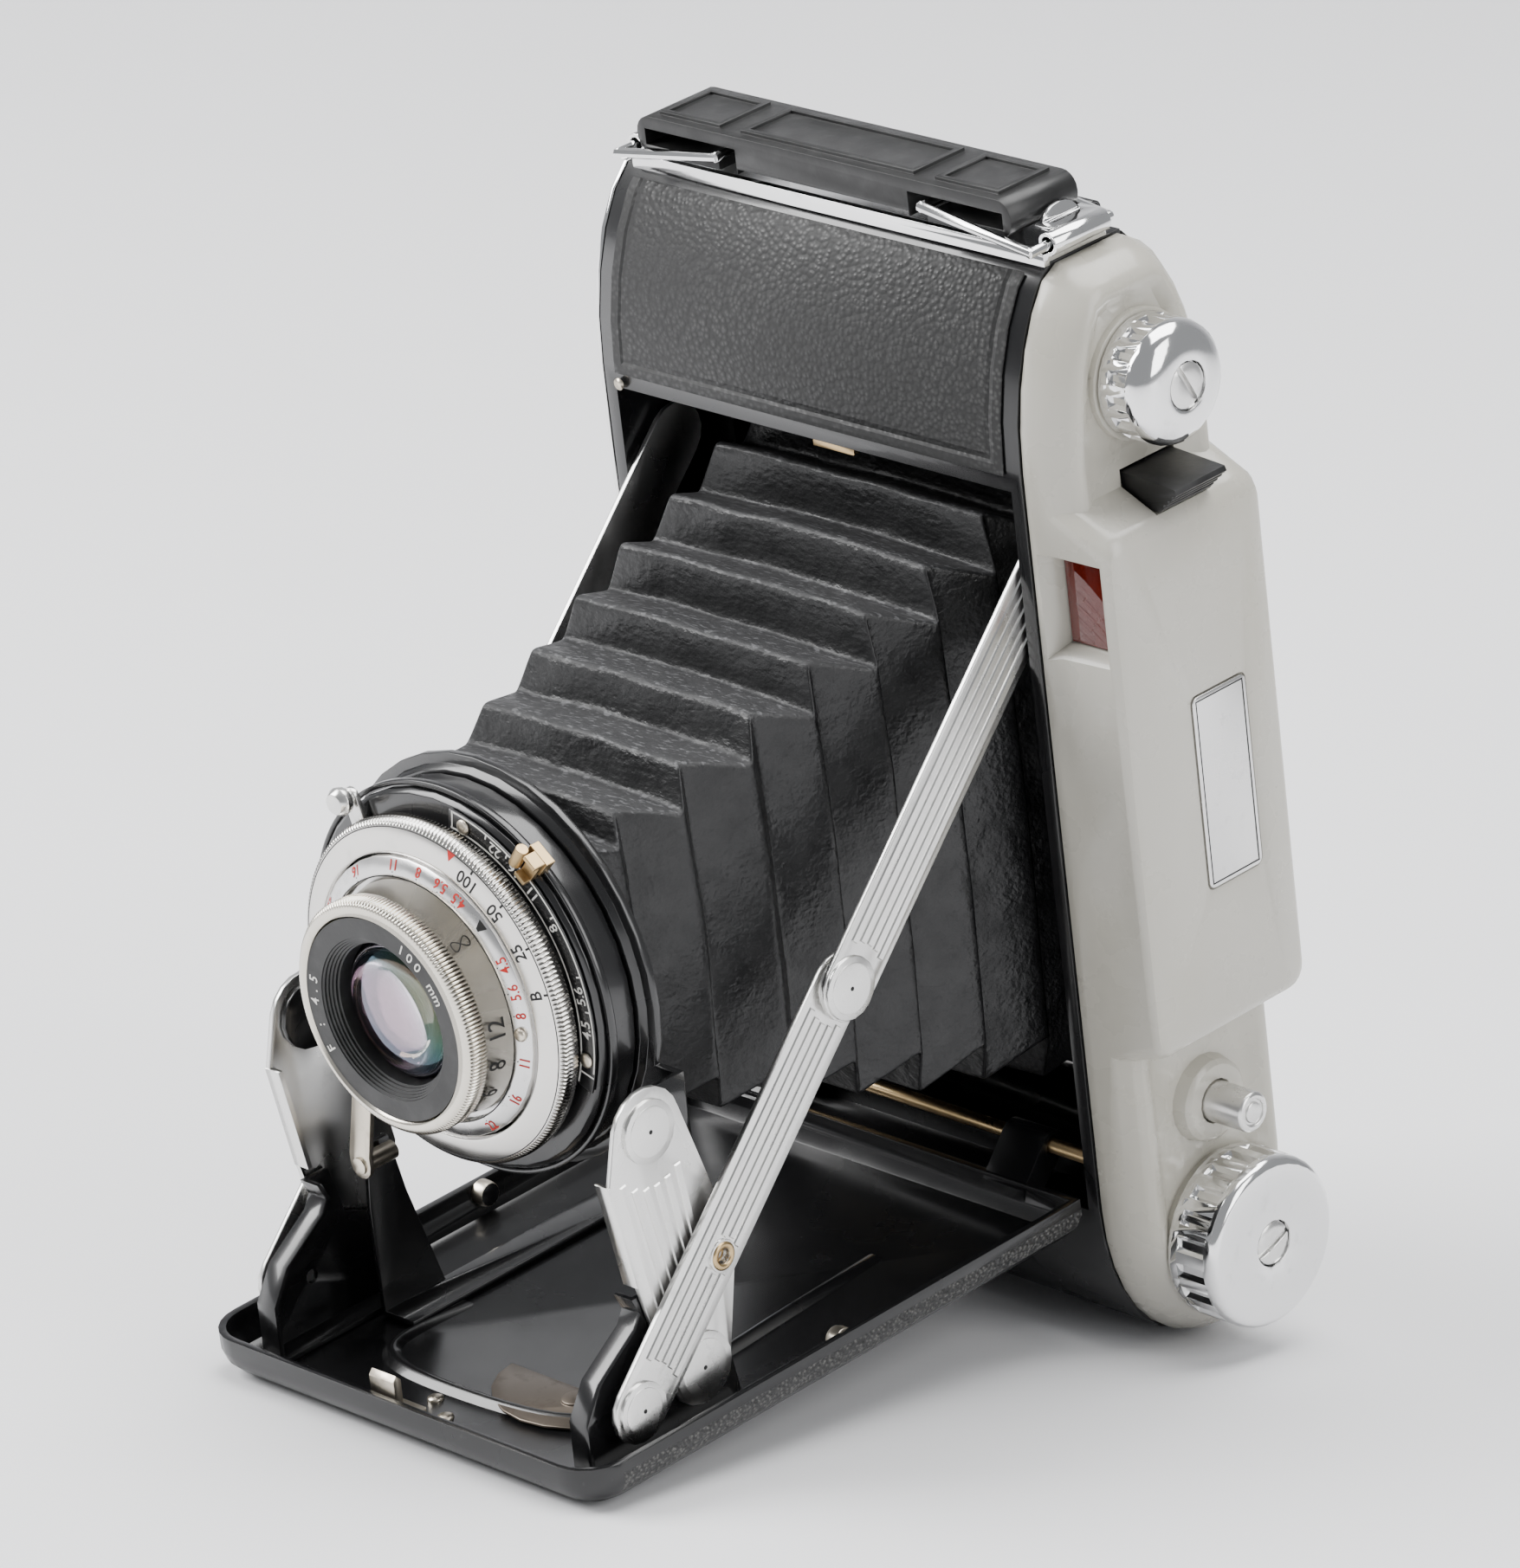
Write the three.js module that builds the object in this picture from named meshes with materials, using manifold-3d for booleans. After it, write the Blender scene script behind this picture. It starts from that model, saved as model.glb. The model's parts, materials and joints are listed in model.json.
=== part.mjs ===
// Folding roll-film camera, standing open on its drop bed. Millimetres, +Z up.
//
// Everything is modelled in the camera's own frame and then leaned forward as one group:
//   x  towards the side housing with the knobs; x = 0 is the lens axis
//   y  from the lens towards the back cover; y = 0 is the flat front of the body
//   z  along the body; z = 0 is the level of the open bed's rim
import * as THREE from 'three';
import Module from 'manifold-3d';
import { mergeVertices } from 'three/addons/utils/BufferGeometryUtils.js';

const wasm = await Module();
wasm.setup();

// ---------------------------------------------------------------- driving dimensions
const GAP = 0.3; // clearance between neighbouring pieces
const SHEET = 0.8; // thickness of the struts and brackets

// body
const BODY_HALF_WIDTH = 40.7;
const BODY_MID_Y = 17; // where the front and rear end curves meet
const FRONT_CURVE = 17; // depth of the front half of both round ends
const REAR_CURVE = 16;
const TOP_CENTRE_Z = 110;
const TOP_CURVE = 31;
const TOP_FLAT_Z = 137.5;
const BOTTOM_CENTRE_Z = -3;
const BOTTOM_CURVE = 25.3;
const BODY_WALL = 1.3;
const PARTING_Y = 24; // the back cover starts here

// bellows chamber and its front opening
const CHAMBER_HALF_WIDTH = 38.6;
const CHAMBER_BOTTOM = 1.8;
const CHAMBER_TOP = 106.8;
const HINGE_POCKET_BOTTOM = -3.5;
const HINGE_POCKET_DEPTH = 6.5;
const LENS_Z = 55; // height of the lens axis, halfway up the chamber

// film transport
const SPOOL_Y = 17.3;
const TAKEUP_Z = -11.2;
const SUPPLY_Z = 120;
const SPOOL_HALF_LENGTH = 32.4;
const SPOOL_FLANGE_RADIUS = 11.3;

// side housing
const HOUSING_INNER_X = BODY_HALF_WIDTH + GAP;
const HOUSING_RIDGE_X = 48.5;
const HOUSING_FACE_X = 47.4; // the face inside the ridge, where the knobs sit
const BLOCK_FACE_X = 54.9;

// drop bed, hinged where its rim plane and the body's front plane meet when it is shut
const HINGE_Y = 3;
const HINGE_Z = 3;
const BED_HALF_WIDTH = 39.8;
const BED_FRONT_Y = -99.5;
const BED_REAR_Y = -2.6;
const BED_RIM_Z = -GAP;
const BED_UNDER_Z = -6.8;
const BED_WALL = 1.1;
const BED_CORNER = 7;
const LEATHER = 0.5;

// folding linkage, right side; [y, z] of the pivots with the bed open
const BED_PIVOT = [-85.8, 3.1]; // lower strut on its bracket
const ELBOW = [-40.1, 48.1]; // lower strut to upper strut
const ROCKER_PIVOT = [-72.5, 3.3]; // rocker arm on its bracket
const STANDARD_PIVOT = [-76.9, 41.2]; // lens standard on the rocker arm
const EYELET = [-67.9, 18.8]; // hollow rivet in the lower strut
const STRUT_TUCK = 1.5; // degrees from straight down when folded
const STANDARD_TRAVEL = 87.5; // how far the standard goes back into the body

// layers across the camera, from the chamber wall inwards
const UPPER_STRUT_X = 37.0;
const LOWER_STRUT_X = 35.3;
const ROCKER_X = 33.6;
const BRACKET_X = 32.5;
const STRUT_HALF_WIDTH = 4.9;
const RIVET_HEAD = 0.6;

// lens standard, bellows and shutter, in y
const STANDARD_Y = -69.2; // front face of the standard's plate
const STANDARD_RADIUS = 30.3;
const BELLOWS_FRONT_Y = -67.7;
const BELLOWS_REAR_Y = 21.9;
const SHUTTER_RADIUS = 28;
const SHUTTER_FACE_Y = -77.2;
const SPEED_RING_RADIUS = 25.7;
const FOCUS_RING_RADIUS = 17.3;
const LENS_FRONT_Y = -91.7;

// ---------------------------------------------------------------- kinematics
const toRadians = Math.PI / 180;

function whenShut([y, z]) {
  // a point of the bed after the quarter turn about the hinge
  return [HINGE_Y + (z - HINGE_Z), HINGE_Z - (y - HINGE_Y)];
}

function upperStrutPivot() {
  // on the line of the open struts, as far from the open elbow as from the folded one
  const [footY, footZ] = whenShut(BED_PIVOT);
  const lowerLength = Math.hypot(ELBOW[0] - BED_PIVOT[0], ELBOW[1] - BED_PIVOT[1]);
  const foldedY = footY + lowerLength * Math.sin(STRUT_TUCK * toRadians);
  const foldedZ = footZ - lowerLength * Math.cos(STRUT_TUCK * toRadians);
  const alongY = (ELBOW[0] - BED_PIVOT[0]) / lowerLength;
  const alongZ = (ELBOW[1] - BED_PIVOT[1]) / lowerLength;
  const shiftY = ELBOW[0] - foldedY;
  const shiftZ = ELBOW[1] - foldedZ;
  const upperLength = -(shiftY ** 2 + shiftZ ** 2) / (2 * (alongY * shiftY + alongZ * shiftZ));
  return [ELBOW[0] + upperLength * alongY, ELBOW[1] + upperLength * alongZ];
}

const BODY_PIVOT = upperStrutPivot();

function leanAngle() {
  // the bed's front lower edge and the body's round lower end both touch the ground
  const bedContactY = BED_FRONT_Y + BED_CORNER;
  const bedContactZ = BED_UNDER_Z - GAP - LEATHER;
  const run = BODY_MID_Y - bedContactY;
  const drop = BOTTOM_CENTRE_Z - bedContactZ;
  const a = run ** 2 - FRONT_CURVE ** 2;
  const b = 2 * run * drop;
  const c = drop ** 2 - BOTTOM_CURVE ** 2;
  return Math.atan((-b + Math.sqrt(b ** 2 - 4 * a * c)) / (2 * a));
}

// ---------------------------------------------------------------- solids
function signedVolume(positions, triangles) {
  const corner = [new THREE.Vector3(), new THREE.Vector3(), new THREE.Vector3()];
  let sum = 0;
  for (let i = 0; i < triangles.length; i += 3) {
    corner.forEach((point, k) => point.fromArray(positions, 3 * triangles[i + k]));
    sum += corner[0].dot(corner[1].cross(corner[2]));
  }
  return sum / 6;
}

function toSolid(geometry) {
  const bare = geometry.index ? geometry.toNonIndexed() : geometry.clone();
  bare.deleteAttribute('normal');
  bare.deleteAttribute('uv');
  const merged = mergeVertices(bare);
  const vertProperties = new Float32Array(merged.attributes.position.array);
  const all = Array.from(merged.index.array);
  const triVerts = [];
  for (let i = 0; i < all.length; i += 3) {
    const [a, b, c] = all.slice(i, i + 3);
    if (a !== b && b !== c && a !== c) triVerts.push(a, b, c);
  }
  if (signedVolume(vertProperties, triVerts) < 0) {
    for (let i = 0; i < triVerts.length; i += 3) {
      [triVerts[i], triVerts[i + 1]] = [triVerts[i + 1], triVerts[i]];
    }
  }
  const mesh = new wasm.Mesh({ numProp: 3, vertProperties, triVerts: new Uint32Array(triVerts) });
  return new wasm.Manifold(mesh);
}

function toGeometry(solid) {
  const mesh = solid.getMesh();
  const geometry = new THREE.BufferGeometry();
  geometry.setAttribute('position', new THREE.Float32BufferAttribute(mesh.vertProperties, 3));
  geometry.setIndex(Array.from(mesh.triVerts));
  geometry.computeVertexNormals();
  return geometry;
}

function join(...solids) {
  return solids.reduce((sum, solid) => sum.add(solid));
}

function cut(solid, ...tools) {
  return tools.reduce((left, tool) => left.subtract(tool), solid);
}

function moved(geometry, x, y, z) {
  return geometry.translate(x, y, z);
}

function block(x0, x1, y0, y1, z0, z1) {
  const size = new THREE.BoxGeometry(Math.abs(x1 - x0), Math.abs(y1 - y0), Math.abs(z1 - z0));
  return toSolid(moved(size, (x0 + x1) / 2, (y0 + y1) / 2, (z0 + z1) / 2));
}

// shapes are given as outlines [[u, v], ...], with optional holes
function extrude(outline, holes, depth) {
  const shape = new THREE.Shape(outline.map(([u, v]) => new THREE.Vector2(u, v)));
  for (const hole of holes) {
    shape.holes.push(new THREE.Path(hole.map(([u, v]) => new THREE.Vector2(u, v))));
  }
  return new THREE.ExtrudeGeometry(shape, { depth, bevelEnabled: false });
}

function alongX(outline, xA, xB, holes = []) {
  // the outline is in (y, z)
  const [low, high] = [Math.min(xA, xB), Math.max(xA, xB)];
  const geometry = extrude(outline, holes, high - low);
  const basis = new THREE.Matrix4().makeBasis(
    new THREE.Vector3(0, 1, 0), new THREE.Vector3(0, 0, 1), new THREE.Vector3(1, 0, 0));
  return toSolid(moved(geometry.applyMatrix4(basis), low, 0, 0));
}

function alongY(outline, y0, y1, holes = []) {
  // the outline is in (x, z)
  const geometry = extrude(outline, holes, y1 - y0);
  const basis = new THREE.Matrix4().makeBasis(
    new THREE.Vector3(1, 0, 0), new THREE.Vector3(0, 0, 1), new THREE.Vector3(0, -1, 0));
  return toSolid(moved(geometry.applyMatrix4(basis), 0, y1, 0));
}

function alongZ(outline, z0, z1, holes = []) {
  // the outline is in (x, y)
  return toSolid(moved(extrude(outline, holes, z1 - z0), 0, 0, z0));
}

function lathe(profile, steps) {
  const points = profile.map(([radius, height]) => new THREE.Vector2(radius, height));
  return new THREE.LatheGeometry(points, steps);
}

function turnedX(profile, y, z, steps = 24) {
  // profile of [radius, x]
  return toSolid(moved(lathe(profile, steps).rotateZ(-Math.PI / 2), 0, y, z));
}

function turnedY(profile, x = 0, z = LENS_Z, steps = 36) {
  // profile of [radius, y]
  return toSolid(moved(lathe(profile, steps), x, 0, z));
}

function rodX(radius, x0, x1, y, z, steps = 16) {
  return turnedX([[0, x0], [radius, x0], [radius, x1], [0, x1]], y, z, steps);
}

function rodY(radius, y0, y1, x, z, steps = 16) {
  return turnedY([[0, y0], [radius, y0], [radius, y1], [0, y1]], x, z, steps);
}

function ringProfile(inner, outer, low, high) {
  return [[inner, low], [outer, low], [outer, high], [inner, high], [inner, low]];
}

function loft(rings) {
  // closed solid through rings of equally many points
  const count = rings[0].length;
  const positions = rings.flat().flatMap((point) => point.toArray());
  const triangles = [];
  for (let level = 0; level + 1 < rings.length; level++) {
    for (let i = 0; i < count; i++) {
      const next = (i + 1) % count;
      const [a, b] = [level * count + i, level * count + next];
      triangles.push(a, b, a + count, b, b + count, a + count);
    }
  }
  const last = (rings.length - 1) * count;
  for (let i = 1; i + 1 < count; i++) {
    triangles.push(0, i + 1, i);
    triangles.push(last, last + i, last + i + 1);
  }
  const geometry = new THREE.BufferGeometry();
  geometry.setAttribute('position', new THREE.Float32BufferAttribute(positions, 3));
  geometry.setIndex(triangles);
  return toSolid(geometry);
}

// ---------------------------------------------------------------- outlines
function arc(centreU, centreV, radiusU, radiusV, fromDegrees, toDegrees, steps) {
  const points = [];
  for (let i = 0; i <= steps; i++) {
    const angle = (fromDegrees + ((toDegrees - fromDegrees) * i) / steps) * toRadians;
    points.push([centreU + radiusU * Math.cos(angle), centreV + radiusV * Math.sin(angle)]);
  }
  return points;
}

function circle(u, v, radius, steps = 20) {
  return arc(u, v, radius, radius, 0, 360 - 360 / steps, steps - 1);
}

function rectangle(u0, u1, v0, v1) {
  return [[u0, v0], [u1, v0], [u1, v1], [u0, v1]];
}

function roundRectangle(u0, u1, v0, v1, radius, steps = 4) {
  return [
    ...arc(u1 - radius, v0 + radius, radius, radius, -90, 0, steps),
    ...arc(u1 - radius, v1 - radius, radius, radius, 0, 90, steps),
    ...arc(u0 + radius, v1 - radius, radius, radius, 90, 180, steps),
    ...arc(u0 + radius, v0 + radius, radius, radius, 180, 270, steps),
  ];
}

function capsule([uA, vA], [uB, vB], radius, steps = 8) {
  const heading = Math.atan2(vB - vA, uB - uA) / toRadians;
  return [
    ...arc(uB, vB, radius, radius, heading - 90, heading + 90, steps),
    ...arc(uA, vA, radius, radius, heading + 90, heading + 270, steps),
  ];
}

function bodyOutline(inset, steps = 14) {
  // side view of the body in (y, z): two half ovals with a flat top
  const front = FRONT_CURVE - inset;
  const rear = REAR_CURVE - inset;
  const quarter = steps / 2;
  const top = [
    ...arc(BODY_MID_Y, TOP_CENTRE_Z, rear, TOP_CURVE - inset, 0, 90, quarter),
    ...arc(BODY_MID_Y, TOP_CENTRE_Z, front, TOP_CURVE - inset, 90, 180, quarter).slice(1),
  ].map(([y, z]) => [y, Math.min(z, TOP_FLAT_Z - inset)]);
  const bottom = [
    ...arc(BODY_MID_Y, BOTTOM_CENTRE_Z, front, BOTTOM_CURVE - inset, 180, 270, quarter),
    ...arc(BODY_MID_Y, BOTTOM_CENTRE_Z, rear, BOTTOM_CURVE - inset, 270, 360, quarter).slice(1),
  ];
  return [...top, ...bottom];
}

// ---------------------------------------------------------------- assembly
const camera = new THREE.Group();
const cameraFrame = new THREE.Group();
camera.add(cameraFrame);

function finish(color, roughness, metalness) {
  return { color, roughness, metalness };
}

const BLACK_ENAMEL = finish(0x111112, 0.25, 0.1);
const LEATHER_BLACK = finish(0x1b1b1c, 0.75, 0);
const BELLOWS_CLOTH = finish(0x232325, 0.8, 0);
const GREY_PLASTIC = finish(0xb9b7ab, 0.35, 0);
const BLACK_PLASTIC = finish(0x161616, 0.45, 0);
const CHROME = finish(0xd8d8d6, 0.15, 1);
const SATIN_CHROME = finish(0xc4c4c1, 0.35, 1);
const BRASS = finish(0xa9905c, 0.35, 1);
const NICKEL = finish(0xb7aa90, 0.4, 1);
const STEEL = finish(0x8d8d8c, 0.4, 1);
const GLASS = finish(0x9a86a8, 0.05, 0);
const RED_GLASS = finish(0x5a1210, 0.1, 0);

function place(name, solid, { color, roughness, metalness }) {
  const material = new THREE.MeshStandardMaterial({ color, roughness, metalness });
  const mesh = new THREE.Mesh(toGeometry(solid), material);
  mesh.name = name;
  cameraFrame.add(mesh);
}

const SIDES = [['left', -1], ['right', 1]];

// ---------------------------------------------------------------- body
function makeBodyShell() {
  const behind = block(-50, 50, PARTING_Y, 60, -60, 160);
  const outer = cut(alongX(bodyOutline(0), -BODY_HALF_WIDTH, BODY_HALF_WIDTH), behind);
  const innerHalf = BODY_HALF_WIDTH - BODY_WALL;
  const chamberWalls = join(
    block(-50, 50, -1, PARTING_Y + 1, CHAMBER_BOTTOM - BODY_WALL, CHAMBER_TOP + BODY_WALL),
    block(-50, 50, -1, HINGE_POCKET_DEPTH + BODY_WALL, HINGE_POCKET_BOTTOM - BODY_WALL, 5));
  const spoolRooms = cut(alongX(bodyOutline(BODY_WALL), -innerHalf, innerHalf), chamberWalls);
  const bellowsRoom = join(
    block(-CHAMBER_HALF_WIDTH, CHAMBER_HALF_WIDTH, -1, PARTING_Y + 1, CHAMBER_BOTTOM, CHAMBER_TOP),
    block(-CHAMBER_HALF_WIDTH, CHAMBER_HALF_WIDTH, -1, HINGE_POCKET_DEPTH, HINGE_POCKET_BOTTOM, 5));
  const shaftHoles = [TAKEUP_Z, SUPPLY_Z].map((z) => rodX(2.5, 35, 45, SPOOL_Y, z, 12));
  const shell = cut(outer, spoolRooms, bellowsRoom, ...shaftHoles);
  const knuckles = BACK_HINGE.bodyKnuckles.map(([low, high]) => join(
    backKnuckle(low, high),
    block(low, high, 21.8, PARTING_Y - 0.1, TOP_FLAT_Z - 0.5, BACK_HINGE.z + 0.4)));
  const spoolPins = [TAKEUP_Z, SUPPLY_Z].map((z) => (
    rodX(1.7, 0.5 - BODY_HALF_WIDTH, -29.5, SPOOL_Y, z, 12)));
  return cut(join(shell, ...knuckles, ...spoolPins), rodX(BACK_HINGE.bore, -50, 50, BACK_HINGE.y, BACK_HINGE.z));
}

const BACK_HINGE = {
  y: 24.15,
  z: 139.2,
  radius: 1.4,
  bore: 1.0,
  pin: 0.7,
  bodyKnuckles: [[-36, -24], [-6, 6], [24, 36]],
  coverKnuckles: [[-23.6, -6.4], [6.4, 23.6]],
};

function backKnuckle(low, high) {
  return rodX(BACK_HINGE.radius, low, high, BACK_HINGE.y, BACK_HINGE.z, 16);
}

const COUNTER_WINDOW = { x: 12, z: 55, radius: 4 };

function makeBackCover() {
  const ahead = block(-50, 50, -60, PARTING_Y + GAP, -60, 160);
  const outer = cut(alongX(bodyOutline(0), -BODY_HALF_WIDTH, BODY_HALF_WIDTH), ahead);
  const innerHalf = BODY_HALF_WIDTH - BODY_WALL;
  const hollow = alongX(bodyOutline(BODY_WALL), -innerHalf, innerHalf);
  const windowHole = rodY(COUNTER_WINDOW.radius, 20, 40, COUNTER_WINDOW.x, COUNTER_WINDOW.z);
  const knuckles = BACK_HINGE.coverKnuckles.map(([low, high]) => join(
    backKnuckle(low, high),
    block(low, high, PARTING_Y + 0.5, PARTING_Y + 1.9, TOP_FLAT_Z - 1.8, BACK_HINGE.z)));
  const bore = rodX(BACK_HINGE.bore, -50, 50, BACK_HINGE.y, BACK_HINGE.z);
  return cut(join(cut(outer, hollow, windowHole), ...knuckles), bore);
}

function makeFrontLeather() {
  // a thin sheet wrapped over the front above the opening
  const skin = cut(
    alongX(bodyOutline(-GAP - 0.35), -38, 38),
    alongX(bodyOutline(-GAP), -50, 50));
  const window = block(-50, 50, -5, 7.6, 109.2, 140);
  return skin.intersect(window);
}

function makeSideTrim() {
  // bright band around the front edge of the left side
  const low = -BODY_HALF_WIDTH - GAP - 0.7;
  const high = -BODY_HALF_WIDTH - GAP;
  const band = cut(alongX(bodyOutline(0), low, high), alongX(bodyOutline(1.5), -60, 0));
  return cut(band, block(-60, 0, BODY_MID_Y, 60, -60, 160));
}

function makeFilmGate() {
  const half = CHAMBER_HALF_WIDTH - GAP;
  const plate = rectangle(-half, half, 6.4, 103.4);
  return alongY(plate, 22.2, 23.7, [rectangle(-28.5, 28.5, LENS_Z - 42, LENS_Z + 42).reverse()]);
}

function makeFilmGuide(z) {
  const half = CHAMBER_HALF_WIDTH - GAP;
  const profile = [[0, -half], [0.7, -half], [0.7, -31], [1.2, -31],
    [1.2, 31], [0.7, 31], [0.7, half], [0, half]];
  return turnedX(profile, 22.7, z, 12);
}

function makeSpool(z) {
  const [end, flange, core, bore] = [SPOOL_HALF_LENGTH, SPOOL_FLANGE_RADIUS, 3.6, 2.2];
  const thick = 0.8;
  const profile = [
    [bore, -end], [flange, -end], [flange, thick - end], [core, thick - end],
    [core, end - thick], [flange, end - thick], [flange, end], [bore, end], [bore, -end],
  ];
  return turnedX(profile, SPOOL_Y, z, 20);
}

function makeBackLatch() {
  const plate = alongX(roundRectangle(19, 28.5, 8, 24, 2), -42.2, -41);
  const grips = [12, 14.5, 17, 19.5].map((z) => block(-42.8, -42.1, 20.5, 27, z, z + 1));
  return join(plate, ...grips);
}

place('body_shell', makeBodyShell(), BLACK_ENAMEL);
place('front_leather', makeFrontLeather(), LEATHER_BLACK);
place('side_trim', makeSideTrim(), CHROME);
place('back_cover', makeBackCover(), LEATHER_BLACK);
place('back_hinge_pin', rodX(BACK_HINGE.pin, -36.4, 36.4, BACK_HINGE.y, BACK_HINGE.z, 12), STEEL);
place('back_latch', makeBackLatch(), SATIN_CHROME);
place('pressure_plate', join(
  alongY(roundRectangle(-30, 30, 9, 101, 3), 24.8, 25.7),
  alongX([[25.6, 30], [31.3, 50], [31.3, 60], [25.6, 80], [25.6, 79], [30.8, 60],
    [30.8, 50], [25.6, 31]], -7, 7)), STEEL);
place('counter_window', rodY(COUNTER_WINDOW.radius - GAP, 31.9, 32.5,
  COUNTER_WINDOW.x, COUNTER_WINDOW.z, 16), RED_GLASS);
place('window_slide', join(
  alongY(roundRectangle(6.5, 17.5, 49.5, 60.5, 2), 33.3, 34.1),
  block(8.5, 15.5, 34, 35, 51, 52.4)), BLACK_ENAMEL);
place('film_gate', makeFilmGate(), BLACK_ENAMEL);
place('film_guide_lower', makeFilmGuide(4.4), STEEL);
place('film_guide_upper', makeFilmGuide(105.3), STEEL);
place('takeup_spool', makeSpool(TAKEUP_Z), BLACK_ENAMEL);
place('supply_spool', makeSpool(SUPPLY_Z), BLACK_ENAMEL);

// ---------------------------------------------------------------- side housing
const WINDOW = { x0: 41.5, x1: 53.2, z0: 82, z1: 98.3 }; // viewfinder mouth in the front face
const TUNNEL = { x0: 43.6, x1: 52.4, z0: 84.2, z1: 97.8 };
const TUNNEL_Y = 3.2; // where the splayed mouth ends
const EYEPIECE = { x0: 46.2, x1: 51.4, z0: 88, z1: 95 };
const NAMEPLATE = { y0: 14.2, y1: 25, z0: 44.9, z1: 73.9 };
const PLUNGER = { y: 16.4, z: 9.8, radius: 3, collar: 6.1, tipX: 57, travel: 2.2 };
const KEY = { y0: 12.8, y1: 23, z0: 102.3, z1: 107 };

function housingRing(x, inset) {
  return bodyOutline(GAP + inset, 16).map(([y, z]) => new THREE.Vector3(x, y, z));
}

function blockRing(x, y0, y1, z0, z1, radius) {
  return roundRectangle(y0, y1, z0, z1, radius).map(([y, z]) => new THREE.Vector3(x, y, z));
}

function tunnelRing(y, { x0, x1, z0, z1 }) {
  return rectangle(x0, x1, z0, z1).map(([x, z]) => new THREE.Vector3(x, y, z));
}

function makeSideHousing() {
  const base = loft([
    housingRing(HOUSING_INNER_X, 0), housingRing(42.6, 0), housingRing(45.2, 0.9),
    housingRing(47.4, 2.3), housingRing(48.3, 3.3), housingRing(HOUSING_RIDGE_X, 4.2),
    housingRing(48.2, 5.1), housingRing(HOUSING_FACE_X, 6.4),
  ]);
  const raised = loft([
    blockRing(42, 0.8, 32.4, 19, 107.4, 3), blockRing(53.3, 1.2, 32.2, 22.8, 102.2, 3),
    blockRing(54.4, 1.8, 31.7, 23.6, 101.1, 3), blockRing(BLOCK_FACE_X, 2.9, 30.8, 24.8, 99.9, 3),
  ]);
  const collar = turnedX([[0, 46], [PLUNGER.collar + 0.7, 46], [PLUNGER.collar, 49.4],
    [PLUNGER.collar - 0.7, 50], [0, 50]], PLUNGER.y, PLUNGER.z, 20);
  const knobSeats = [[TAKEUP_Z, 12], [SUPPLY_Z, 9.4]].map(([z, radius]) => (
    rodX(radius, 45, HOUSING_FACE_X + 1, SPOOL_Y, z, 24)));
  const wall = 2.1;
  const keepOut = block(40, 60, -5, 40, 79, 101.6);
  const hollow = cut(join(
    alongX(bodyOutline(GAP + wall, 8), 40, HOUSING_FACE_X - 1.7),
    block(40, 53.2, 3.5, 30.4, 26, 79)), keepOut);
  const viewTunnel = join(
    loft([tunnelRing(-0.5, WINDOW), tunnelRing(TUNNEL_Y, TUNNEL), tunnelRing(25, TUNNEL)]),
    loft([tunnelRing(24, EYEPIECE), tunnelRing(35, EYEPIECE)]));
  const plateRecess = alongX(roundRectangle(NAMEPLATE.y0 - GAP, NAMEPLATE.y1 + GAP,
    NAMEPLATE.z0 - GAP, NAMEPLATE.z1 + GAP, 1.2), 54.3, 56);
  const plungerHole = rodX(PLUNGER.radius + 0.35, 40, 60, PLUNGER.y, PLUNGER.z, 16);
  const keySlot = block(43, 60, KEY.y0 - 0.4, KEY.y1 + 0.4, KEY.z0 - 0.4, KEY.z1 + 0.4);
  const shaftHoles = [TAKEUP_Z, SUPPLY_Z].map((z) => rodX(2.5, 40, 60, SPOOL_Y, z, 12));
  return cut(join(base, raised, collar, ...knobSeats),
    hollow, viewTunnel, plateRecess, plungerHole, keySlot, ...shaftHoles);
}

function pane({ x0, x1, z0, z1 }, y0, y1) {
  return alongY(rectangle(x0 + GAP, x1 - GAP, z0 + GAP, z1 - GAP), y0, y1);
}

function makeKnob(z, { radius, flutes, rearX, barrelX, faceX, faceRadius, recess }) {
  // fluted barrel between a plain rear band and a rounded face
  const groove = 0.7;
  const outline = [];
  for (let i = 0; i < flutes; i++) {
    for (const [share, depth] of [[0, groove], [0.28, groove], [0.42, 0], [0.86, 0]]) {
      const angle = ((i + share) / flutes) * 2 * Math.PI;
      const r = radius - depth;
      outline.push([SPOOL_Y + r * Math.cos(angle), z + r * Math.sin(angle)]);
    }
  }
  const rearBand = 1.5;
  const core = turnedX([
    [0, rearX], [radius, rearX], [radius, rearX + rearBand], [radius - groove, rearX + rearBand],
    [radius - groove, barrelX], [radius, barrelX],
    ...arc(faceRadius, barrelX + 0.6, radius - faceRadius, faceX - barrelX - 0.6, 0, 90, 4),
    [0, faceX],
  ], SPOOL_Y, z, 32);
  const barrel = alongX(outline, rearX + rearBand - 0.1, barrelX + 0.1);
  const screwRecess = rodX(recess, faceX - 1.3, faceX + 1, SPOOL_Y, z, 24);
  const shaftBore = rodX(2.2, rearX - 1, rearX + 4.3, SPOOL_Y, z, 16);
  return cut(join(core, barrel), screwRecess, shaftBore);
}

function makeKnobScrew(z, radius, faceX, slotTurn) {
  const head = turnedX([[0, faceX - 1], [radius, faceX - 1], [radius, faceX - 0.15],
    [radius * 0.7, faceX + 0.1], [0, faceX + 0.15]], SPOOL_Y, z, 24);
  const slot = new THREE.BoxGeometry(1.4, 3 * radius, 0.8).rotateX(slotTurn);
  return cut(head, toSolid(moved(slot, faceX + 0.1, SPOOL_Y, z)));
}

function makeShaft(z, farX) {
  return rodX(1.8, 26, farX, SPOOL_Y, z, 16);
}

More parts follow.
